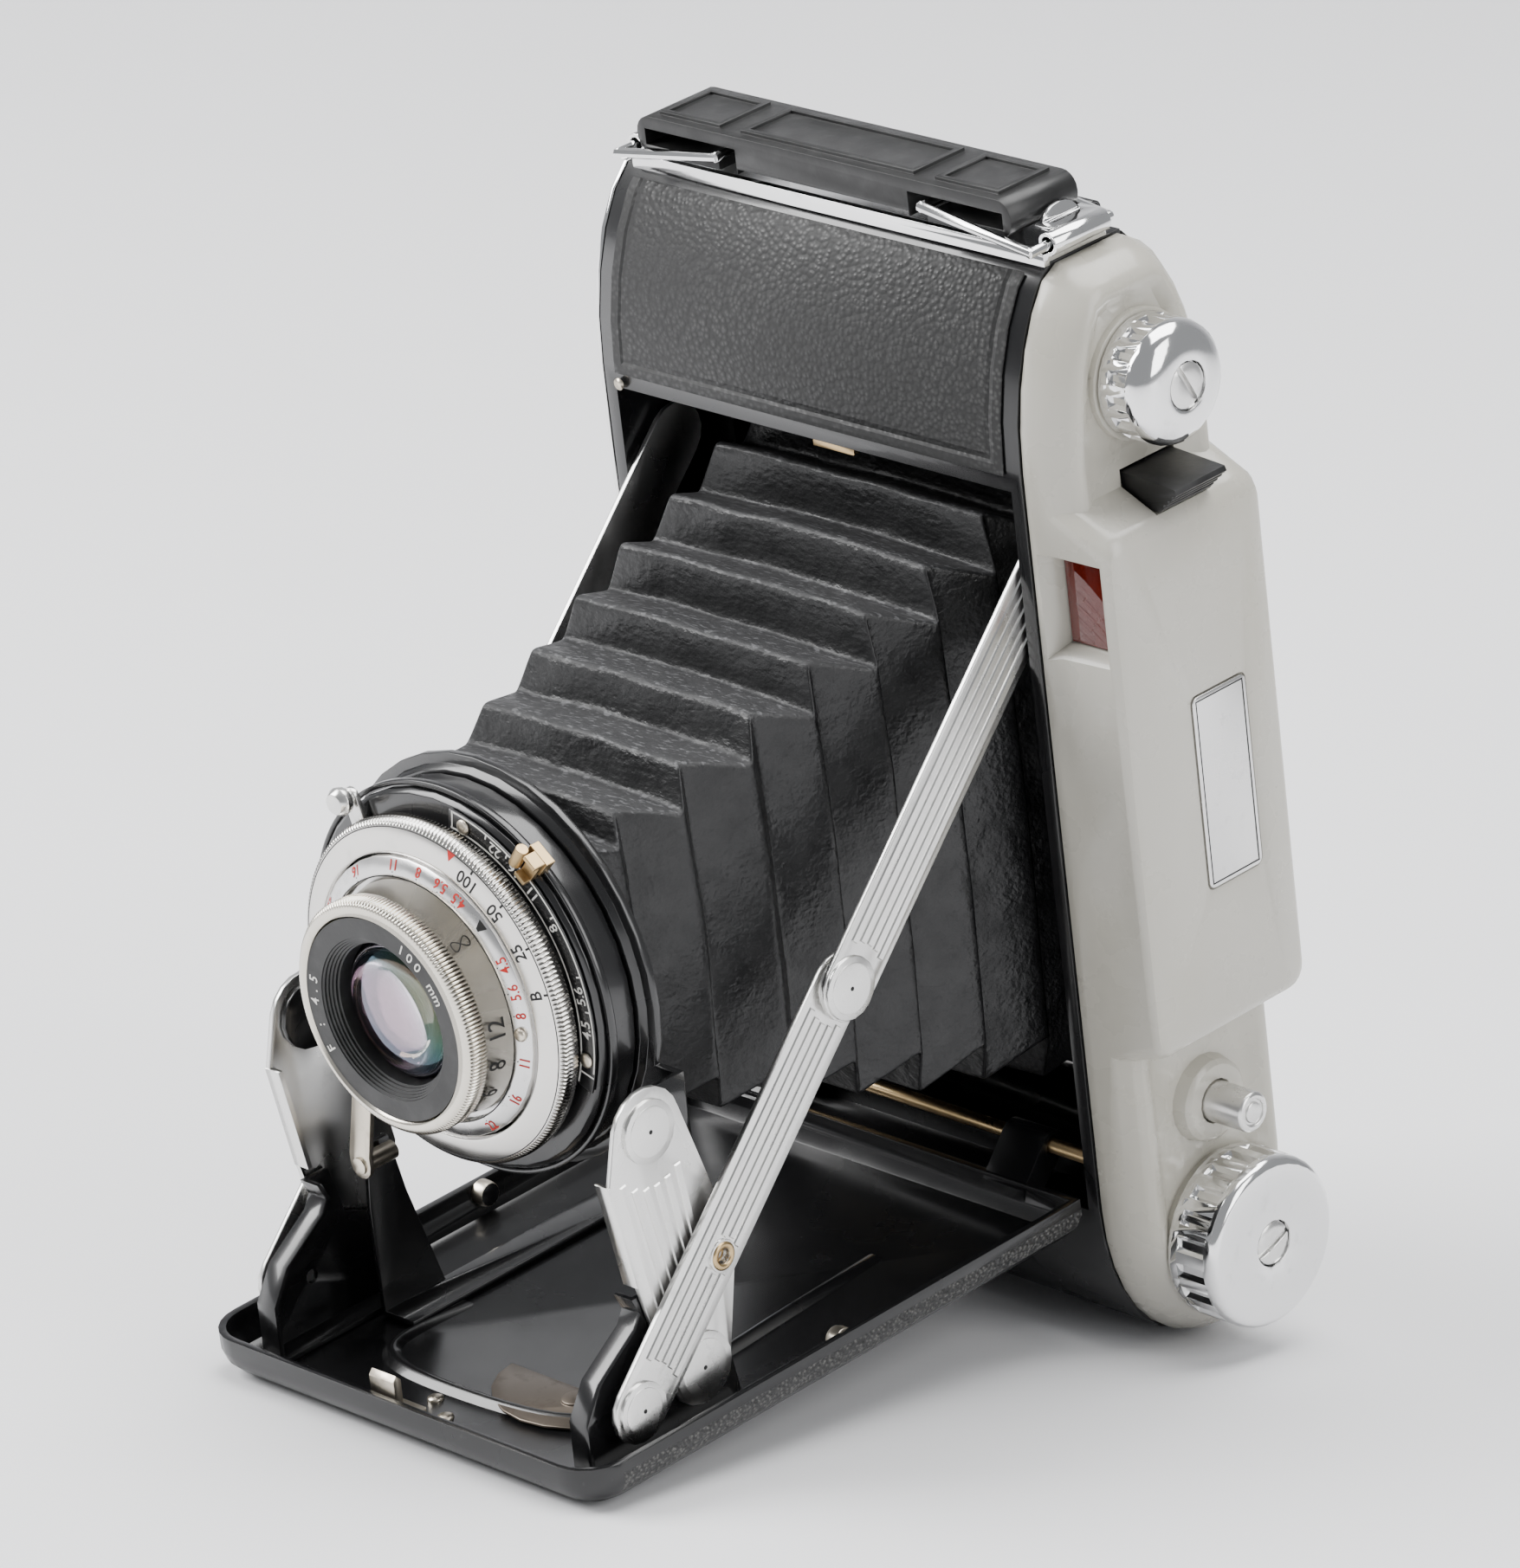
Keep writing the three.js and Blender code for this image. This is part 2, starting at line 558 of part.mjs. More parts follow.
const WINDING_KNOB = {
  radius: 12.7, flutes: 20, rearX: 48.8, barrelX: 55.4, faceX: 57.45, faceRadius: 11.4, recess: 3.5,
};
const SUPPLY_KNOB = {
  radius: 8.9, flutes: 16, rearX: 48.8, barrelX: 53.6, faceX: 57.2, faceRadius: 4.4, recess: 3.6,
};

function makePlunger() {
  const { radius, tipX, y, z } = PLUNGER;
  const shank = turnedX([
    [0, 44.3], [4.4, 44.3], [4.4, 45.3], [radius, 45.3],
    [radius, tipX - 0.4], [radius - 0.4, tipX], [0, tipX],
  ], y, z, 20);
  const rings = turnedX(ringProfile(1.5, 2, tipX - 0.4, tipX + 1), y, z, 20);
  return cut(shank, rings);
}

function makeReleaseKey() {
  // wedge with a ribbed thumb face, and a guide stem into the housing
  const { y0, y1, z0, z1 } = KEY;
  const [footX, lipX] = [54, 57.4];
  const wedge = [[47.2, z0], [footX, z0], [lipX, z1 - 1.5], [lipX - 0.3, z1 - 0.8], [47.2, z1]];
  const head = alongY(wedge, y0, y1);
  const grooves = [0.3, 0.55, 0.8].map((share) => (
    rodY(0.35, y0 - 1, y1 + 1, footX + (lipX - footX) * share, z0 + (z1 - 1.5 - z0) * share, 8)));
  const stem = rodX(1.5, 43.2, 48, (y0 + y1) / 2, (z0 + z1) / 2, 12);
  return join(cut(head, ...grooves), stem);
}

place('side_housing', makeSideHousing(), GREY_PLASTIC);
place('viewfinder_front_lens', pane(TUNNEL, TUNNEL_Y + GAP, TUNNEL_Y + 1.7), RED_GLASS);
place('viewfinder_rear_lens', pane(EYEPIECE, 29, 30.5), GLASS);
place('nameplate', alongX(roundRectangle(NAMEPLATE.y0, NAMEPLATE.y1,
  NAMEPLATE.z0, NAMEPLATE.z1, 1), 54.6, 55.1), SATIN_CHROME);
place('winding_knob', makeKnob(TAKEUP_Z, WINDING_KNOB), CHROME);
place('winding_knob_screw', makeKnobScrew(TAKEUP_Z, 3.2, WINDING_KNOB.faceX, 0.3), SATIN_CHROME);
place('winding_shaft', makeShaft(TAKEUP_Z, 52.6), STEEL);
place('supply_knob', makeKnob(SUPPLY_Z, SUPPLY_KNOB), CHROME);
place('supply_knob_screw', makeKnobScrew(SUPPLY_Z, 3.3, SUPPLY_KNOB.faceX, -1.1), SATIN_CHROME);
place('supply_shaft', makeShaft(SUPPLY_Z, 52.6), STEEL);
place('bed_release_plunger', makePlunger(), SATIN_CHROME);
place('release_key', makeReleaseKey(), BLACK_PLASTIC);

// ---------------------------------------------------------------- carrying handle
const HANDLE_TOP_Z = 146.4;
const HANDLE_Y = [7, 20.4];
const LINK_TUBE = { z: 140.3, leftX: -38.6, rightX: 41.2, y0: 9.3, y1: 20.3, outer: 1.7, inner: 1.15 };
const LINK_WIRE = 0.75;
const LINK_BAR_Z = 143.3; // where each wire passes through the grip
const LINK_REACH = 20;

function makeHandleBase() {
  const { z, leftX, rightX, y0, y1, outer, inner } = LINK_TUBE;
  const plate = block(leftX, rightX, y0, y1 + 0.5, TOP_FLAT_Z + GAP, TOP_FLAT_Z + GAP + 1.2);
  const lip = block(leftX, rightX, y0 - 1, y0 + 0.1, TOP_FLAT_Z - 0.2, TOP_FLAT_Z + 2);
  const tubes = [leftX, rightX].map((x) => rodY(outer, y0, y1, x, z, 16));
  const bores = [leftX, rightX].map((x) => rodY(inner, y0 - 1, y1 + 1, x, z, 12));
  // the right tube's sheet ends in a slotted flap with an upturned tongue
  const flapTop = z + outer;
  const flap = block(rightX - 3.7, rightX, y0 + 1.6, y1, flapTop - 0.6, flapTop);
  const slot = block(rightX - 2.5, rightX - 1.8, y0 + 3.4, y1 - 1.6, flapTop - 1, flapTop + 1);
  const tongue = alongX(arc((y0 + y1) / 2 + 0.6, flapTop - 0.5, 3.6, 2.4, 0, 180, 8),
    rightX - 3.7, rightX - 3.1);
  return cut(join(plate, lip, ...tubes, flap, tongue), slot, ...bores);
}

function makeHandleGrip() {
  // strap whose ends fold under, leaving a slot for each wire link
  const [left, right, low] = [-35.4, 37, HANDLE_TOP_Z - 5.6];
  const slotLow = LINK_BAR_Z - 1.2;
  const slotHigh = LINK_BAR_Z + 1.2;
  const outer = roundRectangle(left, right, low, HANDLE_TOP_Z, 2.6, 5);
  const slots = [[left + 1.6, left + 19.5], [right - 19.5, right - 1.6]].map(([a, b]) => (
    block(a, b, 0, 40, slotLow, slotHigh)));
  const mouths = [left + 16, right - 19.5].map((a) => block(a, a + 3.5, 0, 40, low - 1, slotLow + 0.1));
  const waist = block(left + 19.6, right - 19.6, 0, 40, low - 1, low + 0.8);
  const panels = [[-32, -20], [-16, 17.6], [21.6, 33.6]].map(([a, b]) => (
    cut(block(a, b, HANDLE_Y[0] + 1.6, HANDLE_Y[1] - 1.6, HANDLE_TOP_Z - 0.1, HANDLE_TOP_Z + 0.5),
      block(a + 1, b - 1, HANDLE_Y[0] + 2.6, HANDLE_Y[1] - 2.6, HANDLE_TOP_Z + 0.05, 200))));
  return join(cut(alongY(outer, ...HANDLE_Y), ...slots, ...mouths, waist), ...panels);
}

function makeHandleLink(tubeX, side) {
  // rectangular wire loop from the base plate's tube to the slot in the grip
  const barX = tubeX + side * LINK_REACH;
  const [frontY, rearY] = [HANDLE_Y[0] - 1.1, HANDLE_Y[1] + 1.1];
  const corners = [
    [tubeX, frontY, LINK_TUBE.z], [tubeX, rearY, LINK_TUBE.z],
    [barX, rearY, LINK_BAR_Z], [barX, frontY, LINK_BAR_Z],
  ].map((point) => new THREE.Vector3(...point));
  const pieces = corners.map((from, i) => wireBetween(from, corners[(i + 1) % 4]));
  return join(...pieces);
}

function wireBetween(from, to) {
  const run = new THREE.Vector3().subVectors(to, from);
  const wire = new THREE.CylinderGeometry(LINK_WIRE, LINK_WIRE, run.length() + LINK_WIRE, 8);
  const turn = new THREE.Quaternion().setFromUnitVectors(new THREE.Vector3(0, 1, 0),
    run.clone().normalize());
  const middle = new THREE.Vector3().addVectors(from, to).multiplyScalar(0.5);
  return toSolid(wire.applyQuaternion(turn).translate(middle.x, middle.y, middle.z));
}

place('handle_base', makeHandleBase(), CHROME);
place('handle_grip', makeHandleGrip(), BLACK_PLASTIC);
place('handle_link_left', makeHandleLink(LINK_TUBE.leftX, 1), CHROME);
place('handle_link_right', makeHandleLink(LINK_TUBE.rightX, -1), CHROME);

// ---------------------------------------------------------------- drop bed
const BED_LUGS = [[-30, -22], [22, 30]];
const BED_STUDS = [[-1, -45.5], [1, -49.6]]; // [side, y]

function bedOutline(inset) {
  const [half, radius] = [BED_HALF_WIDTH - inset, BED_CORNER - inset];
  const [front, rear] = [BED_FRONT_Y + inset, BED_REAR_Y - inset];
  return [
    [half, rear], [-half, rear],
    ...arc(-half + radius, front + radius, radius, radius, 180, 270, 6),
    ...arc(half - radius, front + radius, radius, radius, 270, 360, 6),
  ];
}

function bedRing(inset, z) {
  return bedOutline(inset).map(([x, y]) => new THREE.Vector3(x, y, z));
}

function makeBedTray() {
  const outer = loft([bedRing(4.2, BED_UNDER_Z), bedRing(2, BED_UNDER_Z + 0.7),
    bedRing(0.6, BED_UNDER_Z + 2.2), bedRing(0, BED_UNDER_Z + 4), bedRing(0, BED_RIM_Z)]);
  const inner = loft([bedRing(4.6, BED_UNDER_Z + BED_WALL), bedRing(2.6, BED_UNDER_Z + 1.9),
    bedRing(1.5, BED_UNDER_Z + 3.6), bedRing(BED_WALL, BED_UNDER_Z + 4.6), bedRing(BED_WALL, 1)]);
  const lugOutline = [
    [-4, BED_UNDER_Z + 0.4], [4.5, 1.5],
    ...arc(HINGE_Y, HINGE_Z, 2.4, 2.4, -45, 135, 8), [-4, -1.2],
  ];
  const lugs = BED_LUGS.map(([low, high]) => alongX(lugOutline, low, high));
  const studs = BED_STUDS.map(([side, y]) => (
    rodX(1.7, Math.min(side * 36.6, side * 39), Math.max(side * 36.6, side * 39), y, -2, 14)));
  const pinBore = rodX(1.5, -40, 40, HINGE_Y, HINGE_Z, 20);
  return cut(join(cut(outer, inner), ...lugs, ...studs), pinBore);
}

function makeBedCatch() {
  // folded loop that the body's latch hooks
  const outline = [[-97.7, -3.4], [-95.4, -5.2], [-92.4, -5.2], [-92.4, -4.5], [-95.1, -4.5],
    [-96.4, -3], [-96.2, 1.6], [-97, 2.4], [-97.7, 1.6]];
  return alongX(outline, -6, -1);
}

function makeSpringLeaf() {
  // leaf with a rivet, lying on the floor of the bed
  const leaf = [...arc(12, -76, 13, 11, 180, 360, 10)];
  return join(alongZ(leaf, -5.4, -5), turnedZ(2, -5.1, -4.6, 14.5, -78.7));
}

function turnedZ(radius, z0, z1, x, y) {
  const geometry = lathe([[0, z0], [radius, z0], [radius, z1], [0, z1]], 16);
  return toSolid(moved(geometry.rotateX(Math.PI / 2), x, y, 0));
}

function makeReleaseLink() {
  // flat bar on the bed's floor with an upright that reaches the shutter's lever
  const foot = block(-27.6, -21, -76, -30, -5.2, -4.4);
  const upright = alongX([[-76, -5.2], [-64, -5.2], [-69, 12], [-71, 21.5], [-75, 21.5], [-76, 12]],
    -27.6, -26.8);
  return join(foot, upright);
}

function bracketFront() {
  // front edge of a strut bracket, from the floor up to its neck
  return [[-93.6, -5.4], [-93.4, 3], [-90.2, 8], [-82.6, 13], [-81.4, 15], [-82.6, 17.6]];
}

function makeBracket(side) {
  const [inner, outer] = [side * BRACKET_X, side * (BRACKET_X + SHEET)];
  const front = bracketFront();
  const plate = alongX([...front, [-78, 17.6], [-76, 10], [-66.6, 6], [-64.6, -5.4]], inner, outer);
  const back = front.map(([y, z]) => [y + SHEET, z]).reverse();
  const flange = alongX([...front, ...back], side * (BRACKET_X - 2.8), outer);
  const foot = block(side * 28.6, outer, -93, -66, -5.4, -4.7);
  const stud = rodX(2.2, Math.min(outer, side * 35), Math.max(outer, side * 35), ...BED_PIVOT, 14);
  const eyelet = rodX(1.1, -50, 50, -83.6, 3, 12);
  return cut(join(plate, flange, foot, stud), side < 0 ? eyelet : block(0, 1, 0, 1, 50, 51));
}

place('bed_tray', makeBedTray(), BLACK_ENAMEL);
place('bed_leather', alongZ(bedOutline(4.6), BED_UNDER_Z - GAP - LEATHER, BED_UNDER_Z - GAP),
  LEATHER_BLACK);
place('bed_hinge_pin', rodX(1.1, -38.3, 38.3, HINGE_Y, HINGE_Z, 16), BRASS);
place('bed_catch', makeBedCatch(), NICKEL);
place('bed_spring_leaf', makeSpringLeaf(), STEEL);
place('release_link', makeReleaseLink(), BLACK_ENAMEL);
place('bed_latch', join(
  block(-1.5, 6.5, 1.9, 3.1, 104.8, 106.4), block(0, 5, 3, 9, 105.6, 106.4)), BRASS);
for (const [name, side] of SIDES) place(`strut_bracket_${name}`, makeBracket(side), BLACK_ENAMEL);

// ---------------------------------------------------------------- struts and rocker arms
function disc(side, x0, x1, [y, z], radius, steps = 18) {
  return rodX(radius, Math.min(side * x0, side * x1), Math.max(side * x0, side * x1), y, z, steps);
}

function makeUpperStrut(side) {
  const face = UPPER_STRUT_X + SHEET;
  const strap = alongX(capsule(BODY_PIVOT, ELBOW, STRUT_HALF_WIDTH), side * UPPER_STRUT_X, side * face);
  return join(strap, disc(side, face - 0.1, face + 0.5, ELBOW, 4.6),
    disc(side, face - 0.1, face + 0.5, BODY_PIVOT, 3));
}

function makeLowerStrut(side) {
  const face = LOWER_STRUT_X + SHEET;
  const strap = alongX(capsule(BED_PIVOT, ELBOW, STRUT_HALF_WIDTH), side * LOWER_STRUT_X, side * face);
  const body = join(strap, disc(side, face - 0.1, face + RIVET_HEAD, BED_PIVOT, 4.2),
    disc(side, face - 0.1, face + RIVET_HEAD, ELBOW, 4.2),
    disc(side, face - 0.1, face + 0.4, EYELET, 2.4));
  return cut(body, disc(side, 30, 40, EYELET, 1.2, 14));
}

function makeRockerArm(side) {
  const [footY, footZ] = ROCKER_PIVOT;
  const [headY, headZ] = STANDARD_PIVOT;
  const outer = ROCKER_X + SHEET;
  const plate = alongX([
    ...arc(footY, footZ, 5.6, 5.6, 180, 350, 8),
    [footY + 8.4, footZ + 12.6], [footY + 6.1, footZ + 24.9],
    ...arc(headY, headZ, 6.2, 6.2, 10, 160, 8),
    [footY - 12.3, footZ + 32.5], [footY - 9.5, footZ + 16],
  ], side * ROCKER_X, side * outer);
  const flange = alongX([
    [footY - 12.5, footZ + 32.5], [footY - 9.7, footZ + 16.2],
    [footY - 8.9, footZ + 16.2], [footY - 11.7, footZ + 32.5],
  ], side * (ROCKER_X - 2), side * outer);
  return join(plate, flange,
    disc(side, outer - 0.1, outer + RIVET_HEAD, ROCKER_PIVOT, 5.2),
    disc(side, outer - 0.1, outer + RIVET_HEAD, STANDARD_PIVOT, 4.6));
}

for (const [name, side] of SIDES) {
  place(`upper_strut_${name}`, makeUpperStrut(side), SATIN_CHROME);
  place(`lower_strut_${name}`, makeLowerStrut(side), SATIN_CHROME);
  place(`rocker_arm_${name}`, makeRockerArm(side), SATIN_CHROME);
}

// ---------------------------------------------------------------- lens standard and bellows
function makeLensStandard() {
  const back = STANDARD_Y + 1.2;
  const plate = turnedY([
    [13.6, STANDARD_Y], [26, STANDARD_Y], [26.6, STANDARD_Y - 1], [28.2, STANDARD_Y - 1],
    [28.8, STANDARD_Y], [STANDARD_RADIUS, STANDARD_Y], [STANDARD_RADIUS, back],
    [13.6, back], [13.6, STANDARD_Y],
  ]);
  const [pivotY, pivotZ] = STANDARD_PIVOT;
  const earOuter = BRACKET_X + SHEET;
  const apron = cut(
    alongY(rectangle(-earOuter, earOuter, pivotZ - 5, pivotZ + 5), STANDARD_Y, back),
    rodY(20, STANDARD_Y - 1, back + 1, 0, LENS_Z, 40));
  const ears = SIDES.map(([, side]) => alongX([
    [back, pivotZ - 5], [back, pivotZ + 5], ...arc(pivotY, pivotZ, 5, 5, 90, 270, 8),
  ], side * BRACKET_X, side * earOuter));
  return join(plate, apron, ...ears);
}

function bellowsRing(y, shrink) {
  // the bellows narrow evenly from the film gate to the standard
  const share = (y - BELLOWS_FRONT_Y) / (BELLOWS_REAR_Y - BELLOWS_FRONT_Y);
  const halfWidth = 19.2 + (31.1 - 19.2) * share - shrink;
  const halfHeight = 20.5 + (48.7 - 20.5) * share - shrink;
  return rectangle(-halfWidth, halfWidth, LENS_Z - halfHeight, LENS_Z + halfHeight)
    .map(([x, z]) => new THREE.Vector3(x, y, z));
}

function makeBellows() {
  const outer = loft([bellowsRing(BELLOWS_FRONT_Y, 0), bellowsRing(BELLOWS_REAR_Y, 0)]);
  const inner = loft([bellowsRing(BELLOWS_FRONT_Y - 1, 3), bellowsRing(BELLOWS_REAR_Y + 1, 3)]);
  return cut(outer, inner);
}

// ---------------------------------------------------------------- shutter and lens
function onDial(radius, degrees) {
  return [radius * Math.cos(degrees * toRadians), LENS_Z + radius * Math.sin(degrees * toRadians)];
}

function makeShutterHousing() {
  const rear = STANDARD_Y - 1 - GAP;
  return turnedY([
    [13, rear], [SHUTTER_RADIUS - 0.4, rear], [SHUTTER_RADIUS, rear - 0.5],
    [SHUTTER_RADIUS, SHUTTER_FACE_Y + 0.6], [SHUTTER_RADIUS - 0.6, SHUTTER_FACE_Y],
    [16, SHUTTER_FACE_Y], [16, SHUTTER_FACE_Y + 1.2], [24.6, SHUTTER_FACE_Y + 1.2],
    [24.6, rear - 1], [13, rear - 1], [13, rear],
  ]);
}

function sector(inner, outer, fromDegrees, toDegrees, steps) {
  return [
    ...arc(0, LENS_Z, outer, outer, fromDegrees, toDegrees, steps),
    ...arc(0, LENS_Z, inner, inner, toDegrees, fromDegrees, steps),
  ];
}

const RING_REAR_Y = SHUTTER_FACE_Y - 1.6;

function makeSpeedRing() {
  const face = RING_REAR_Y - 4;
  return turnedY([
    [21, RING_REAR_Y], [SPEED_RING_RADIUS, RING_REAR_Y], [SPEED_RING_RADIUS, RING_REAR_Y - 2.6],
    [24.4, RING_REAR_Y - 3.3], [21.6, face], [21, face], [21, RING_REAR_Y],
  ], 0, LENS_Z, 48);
}

function makeShutterFront() {
  // polished cone between the speed ring and the focus barrel
  const front = RING_REAR_Y - 5.2;
  return turnedY([
    [15.6, SHUTTER_FACE_Y - GAP], [20.6, SHUTTER_FACE_Y - GAP], [20.6, front + 1],
    [18.6, front], [18, front], [18, front + 1.4], [15.6, front + 1.4],
    [15.6, SHUTTER_FACE_Y - GAP],
  ]);
}

function makeFocusRing() {
  const rear = RING_REAR_Y - 4.2;
  const knurlRear = LENS_FRONT_Y + 3.7;
  const knurlFront = LENS_FRONT_Y + 1;
  return turnedY([
    [11.6, rear], [17.2, rear], [16.2, knurlRear + 0.3], [FOCUS_RING_RADIUS, knurlRear],
    [FOCUS_RING_RADIUS, knurlFront], [16.9, knurlFront - 0.3], [15.2, LENS_FRONT_Y],
    [15.2, LENS_FRONT_Y + 1.5], [11.6, LENS_FRONT_Y + 3], [11.6, rear],
  ], 0, LENS_Z, 40);
}

function makeNameRing() {
  const front = LENS_FRONT_Y + 0.3;
  return turnedY([
    [11.9, front], [14.9, front], [14.9, front + 0.9], [11.3, front + 2.1], [11.3, front + 4.6],
    [10.4, front + 4.6], [10.7, front + 2], [11.9, front],
  ], 0, LENS_Z, 32);
}

function makeFrontGlass() {
  return turnedY([[0, -88.4], [4, -88.1], [8, -87.2], [10, -86.2], [10, -84.8], [0, -84.2]],
    0, LENS_Z, 24);
}

function makeApertureRing() {
  // iris ring round the shutter with its brass pointer lever
  const ring = turnedY(ringProfile(SHUTTER_RADIUS + GAP, SHUTTER_RADIUS + 1, -76.4, -75), 0, LENS_Z, 36);
  const arm = alongY(sector(SHUTTER_RADIUS + 0.6, SHUTTER_RADIUS + 3.2, 46, 54, 3), -77.6, -75.2);
  const pointer = alongY(sector(SHUTTER_RADIUS - 1.6, SHUTTER_RADIUS + 3.2, 46, 52, 3), -79.2, -78.2);
  const riser = alongY(sector(SHUTTER_RADIUS + 1.6, SHUTTER_RADIUS + 3.2, 46, 52, 3), -79, -77);
  return join(ring, arm, pointer, riser);
}

function makeCockingLever() {
  const arm = alongY(capsule(onDial(23.4, 127), onDial(29, 123), 1.4, 6), -78.5, -77.7);
  const [x, z] = onDial(29, 123);
  const post = turnedY([[0, -78], [1.1, -78], [1.1, -78.8], [1.9, -79.4], [2.1, -80.4],
    [1.5, -81.4], [0, -81.7]], x, z, 16);
  return join(arm, post);
}

const RELEASE_TIP = [-24.6, 20.4]; // x, z of the release lever's pin

function makeReleaseLever() {
  // bowed strip from the shutter's rim down to the pin that the link pushes
  const pivot = onDial(26.4, -141);
  const strip = alongY([
    ...arc(pivot[0], pivot[1], 2.2, 2.2, 20, 190, 6),
    [-24.4, 31], [RELEASE_TIP[0] - 2, 22],
    ...arc(RELEASE_TIP[0], RELEASE_TIP[1], 2, 2, 180, 360, 6),
    [RELEASE_TIP[0] + 2, 22], [-20.6, 31],
  ], -78.5, -77.7);
  return join(strip, rodY(1.4, -78, -72.4, ...RELEASE_TIP, 14), rodY(1.3, -78.9, -78, ...RELEASE_TIP, 14));
}

place('lens_standard', makeLensStandard(), BLACK_ENAMEL);
place('bellows', makeBellows(), BELLOWS_CLOTH);
place('shutter_housing', makeShutterHousing(), BLACK_ENAMEL);
place('shutter_blades', turnedY(ringProfile(5, 23.8, -74.6, -74.2), 0, LENS_Z, 24), STEEL);
place('aperture_scale', alongY(sector(22.6, 27.4, -22, 82, 16),
  SHUTTER_FACE_Y - 0.7, SHUTTER_FACE_Y - GAP), BLACK_ENAMEL);
place('aperture_ring', makeApertureRing(), BRASS);
place('speed_ring', makeSpeedRing(), CHROME);
place('shutter_front', makeShutterFront(), CHROME);
place('cocking_lever', makeCockingLever(), SATIN_CHROME);
place('release_lever', makeReleaseLever(), NICKEL);
place('focus_ring', makeFocusRing(), SATIN_CHROME);
place('name_ring', makeNameRing(), BLACK_ENAMEL);
place('front_glass', makeFrontGlass(), GLASS);
place('rear_lens_cell', turnedY([[9.3, -73.8], [11, -73.8], [11, -68.6], [12.4, -67.5],
  [12.4, -65.4], [9.3, -65.4], [9.3, -73.8]], 0, LENS_Z, 24), BLACK_ENAMEL);
place('rear_glass', turnedY([[0, -67.2], [9, -67], [9, -66], [0, -65.6]], 0, LENS_Z, 28), GLASS);

// ---------------------------------------------------------------- stance
cameraFrame.rotation.x = leanAngle();
camera.updateMatrixWorld(true);
const extent = new THREE.Box3().setFromObject(camera, true);
const middle = extent.getCenter(new THREE.Vector3());
camera.position.set(-middle.x, -middle.y, -extent.min.z);

export default camera;
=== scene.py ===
"""Looks of the folding camera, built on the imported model's bodies. Metres, row frame."""
import json
import math

import bmesh
import bpy
from mathutils import Matrix, Vector, noise


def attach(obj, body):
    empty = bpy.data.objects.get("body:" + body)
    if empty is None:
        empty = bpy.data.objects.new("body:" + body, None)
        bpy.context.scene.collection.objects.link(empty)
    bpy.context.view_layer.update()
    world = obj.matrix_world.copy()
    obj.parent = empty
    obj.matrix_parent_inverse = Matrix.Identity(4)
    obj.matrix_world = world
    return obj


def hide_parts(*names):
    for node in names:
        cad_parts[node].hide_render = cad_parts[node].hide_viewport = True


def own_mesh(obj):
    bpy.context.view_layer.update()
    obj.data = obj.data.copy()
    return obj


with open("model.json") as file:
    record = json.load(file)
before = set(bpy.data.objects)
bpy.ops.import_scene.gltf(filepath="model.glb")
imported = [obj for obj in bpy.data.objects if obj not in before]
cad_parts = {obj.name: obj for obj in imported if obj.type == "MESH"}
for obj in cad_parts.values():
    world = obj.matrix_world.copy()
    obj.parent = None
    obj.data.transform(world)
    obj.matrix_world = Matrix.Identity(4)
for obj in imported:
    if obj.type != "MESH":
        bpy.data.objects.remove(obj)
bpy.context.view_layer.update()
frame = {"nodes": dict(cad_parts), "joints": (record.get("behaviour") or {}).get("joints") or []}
nodes = frame["nodes"]
joints = {joint["name"]: joint for joint in frame["joints"]}

# ---------------------------------------------------------------- the camera's own axes
# x towards the side housing, y from the lens to the back, z along the body; millimetres
MM = 0.001
SIDE = Vector((1, 0, 0))
BACK = Vector(joints["focus_turn"]["axis"]).normalized()
TALL = SIDE.cross(BACK)
HINGE = Vector(joints["bed_fold"]["pos_m"])
HINGE_YZ = (3.0, 3.0)
LEAN = math.atan2(BACK.z, BACK.y)
LENS_Z = 55.0
TO_ROW = Matrix.Translation(HINGE) @ Matrix((SIDE, BACK, TALL)).transposed().to_4x4() \
    @ Matrix.Scale(MM, 4) @ Matrix.Translation((0, -HINGE_YZ[0], -HINGE_YZ[1]))


def at(x, y, z):
    """A point in the camera's own millimetres, in the row frame."""
    return TO_ROW @ Vector((x, y, z))


def own_zero(name=None):
    """Where the camera's own origin lies in the shader coordinates of a packed or a new piece."""
    start = nodes[name].matrix_world.translation if name else Vector((0, 0, 0))
    return Matrix.Rotation(-LEAN, 3, "X") @ (at(0, 0, 0) - start)


# edges of the leathers, which the shaders find by position
BED_LEATHER_TOP_Z = -1.9
BED_LEATHER_FRONT_Y = -93.5
BED_LEATHER_X = 38.75
SHEET_HALF_WIDTH = 38.0
SHEET_FOOT_Z = 109.2


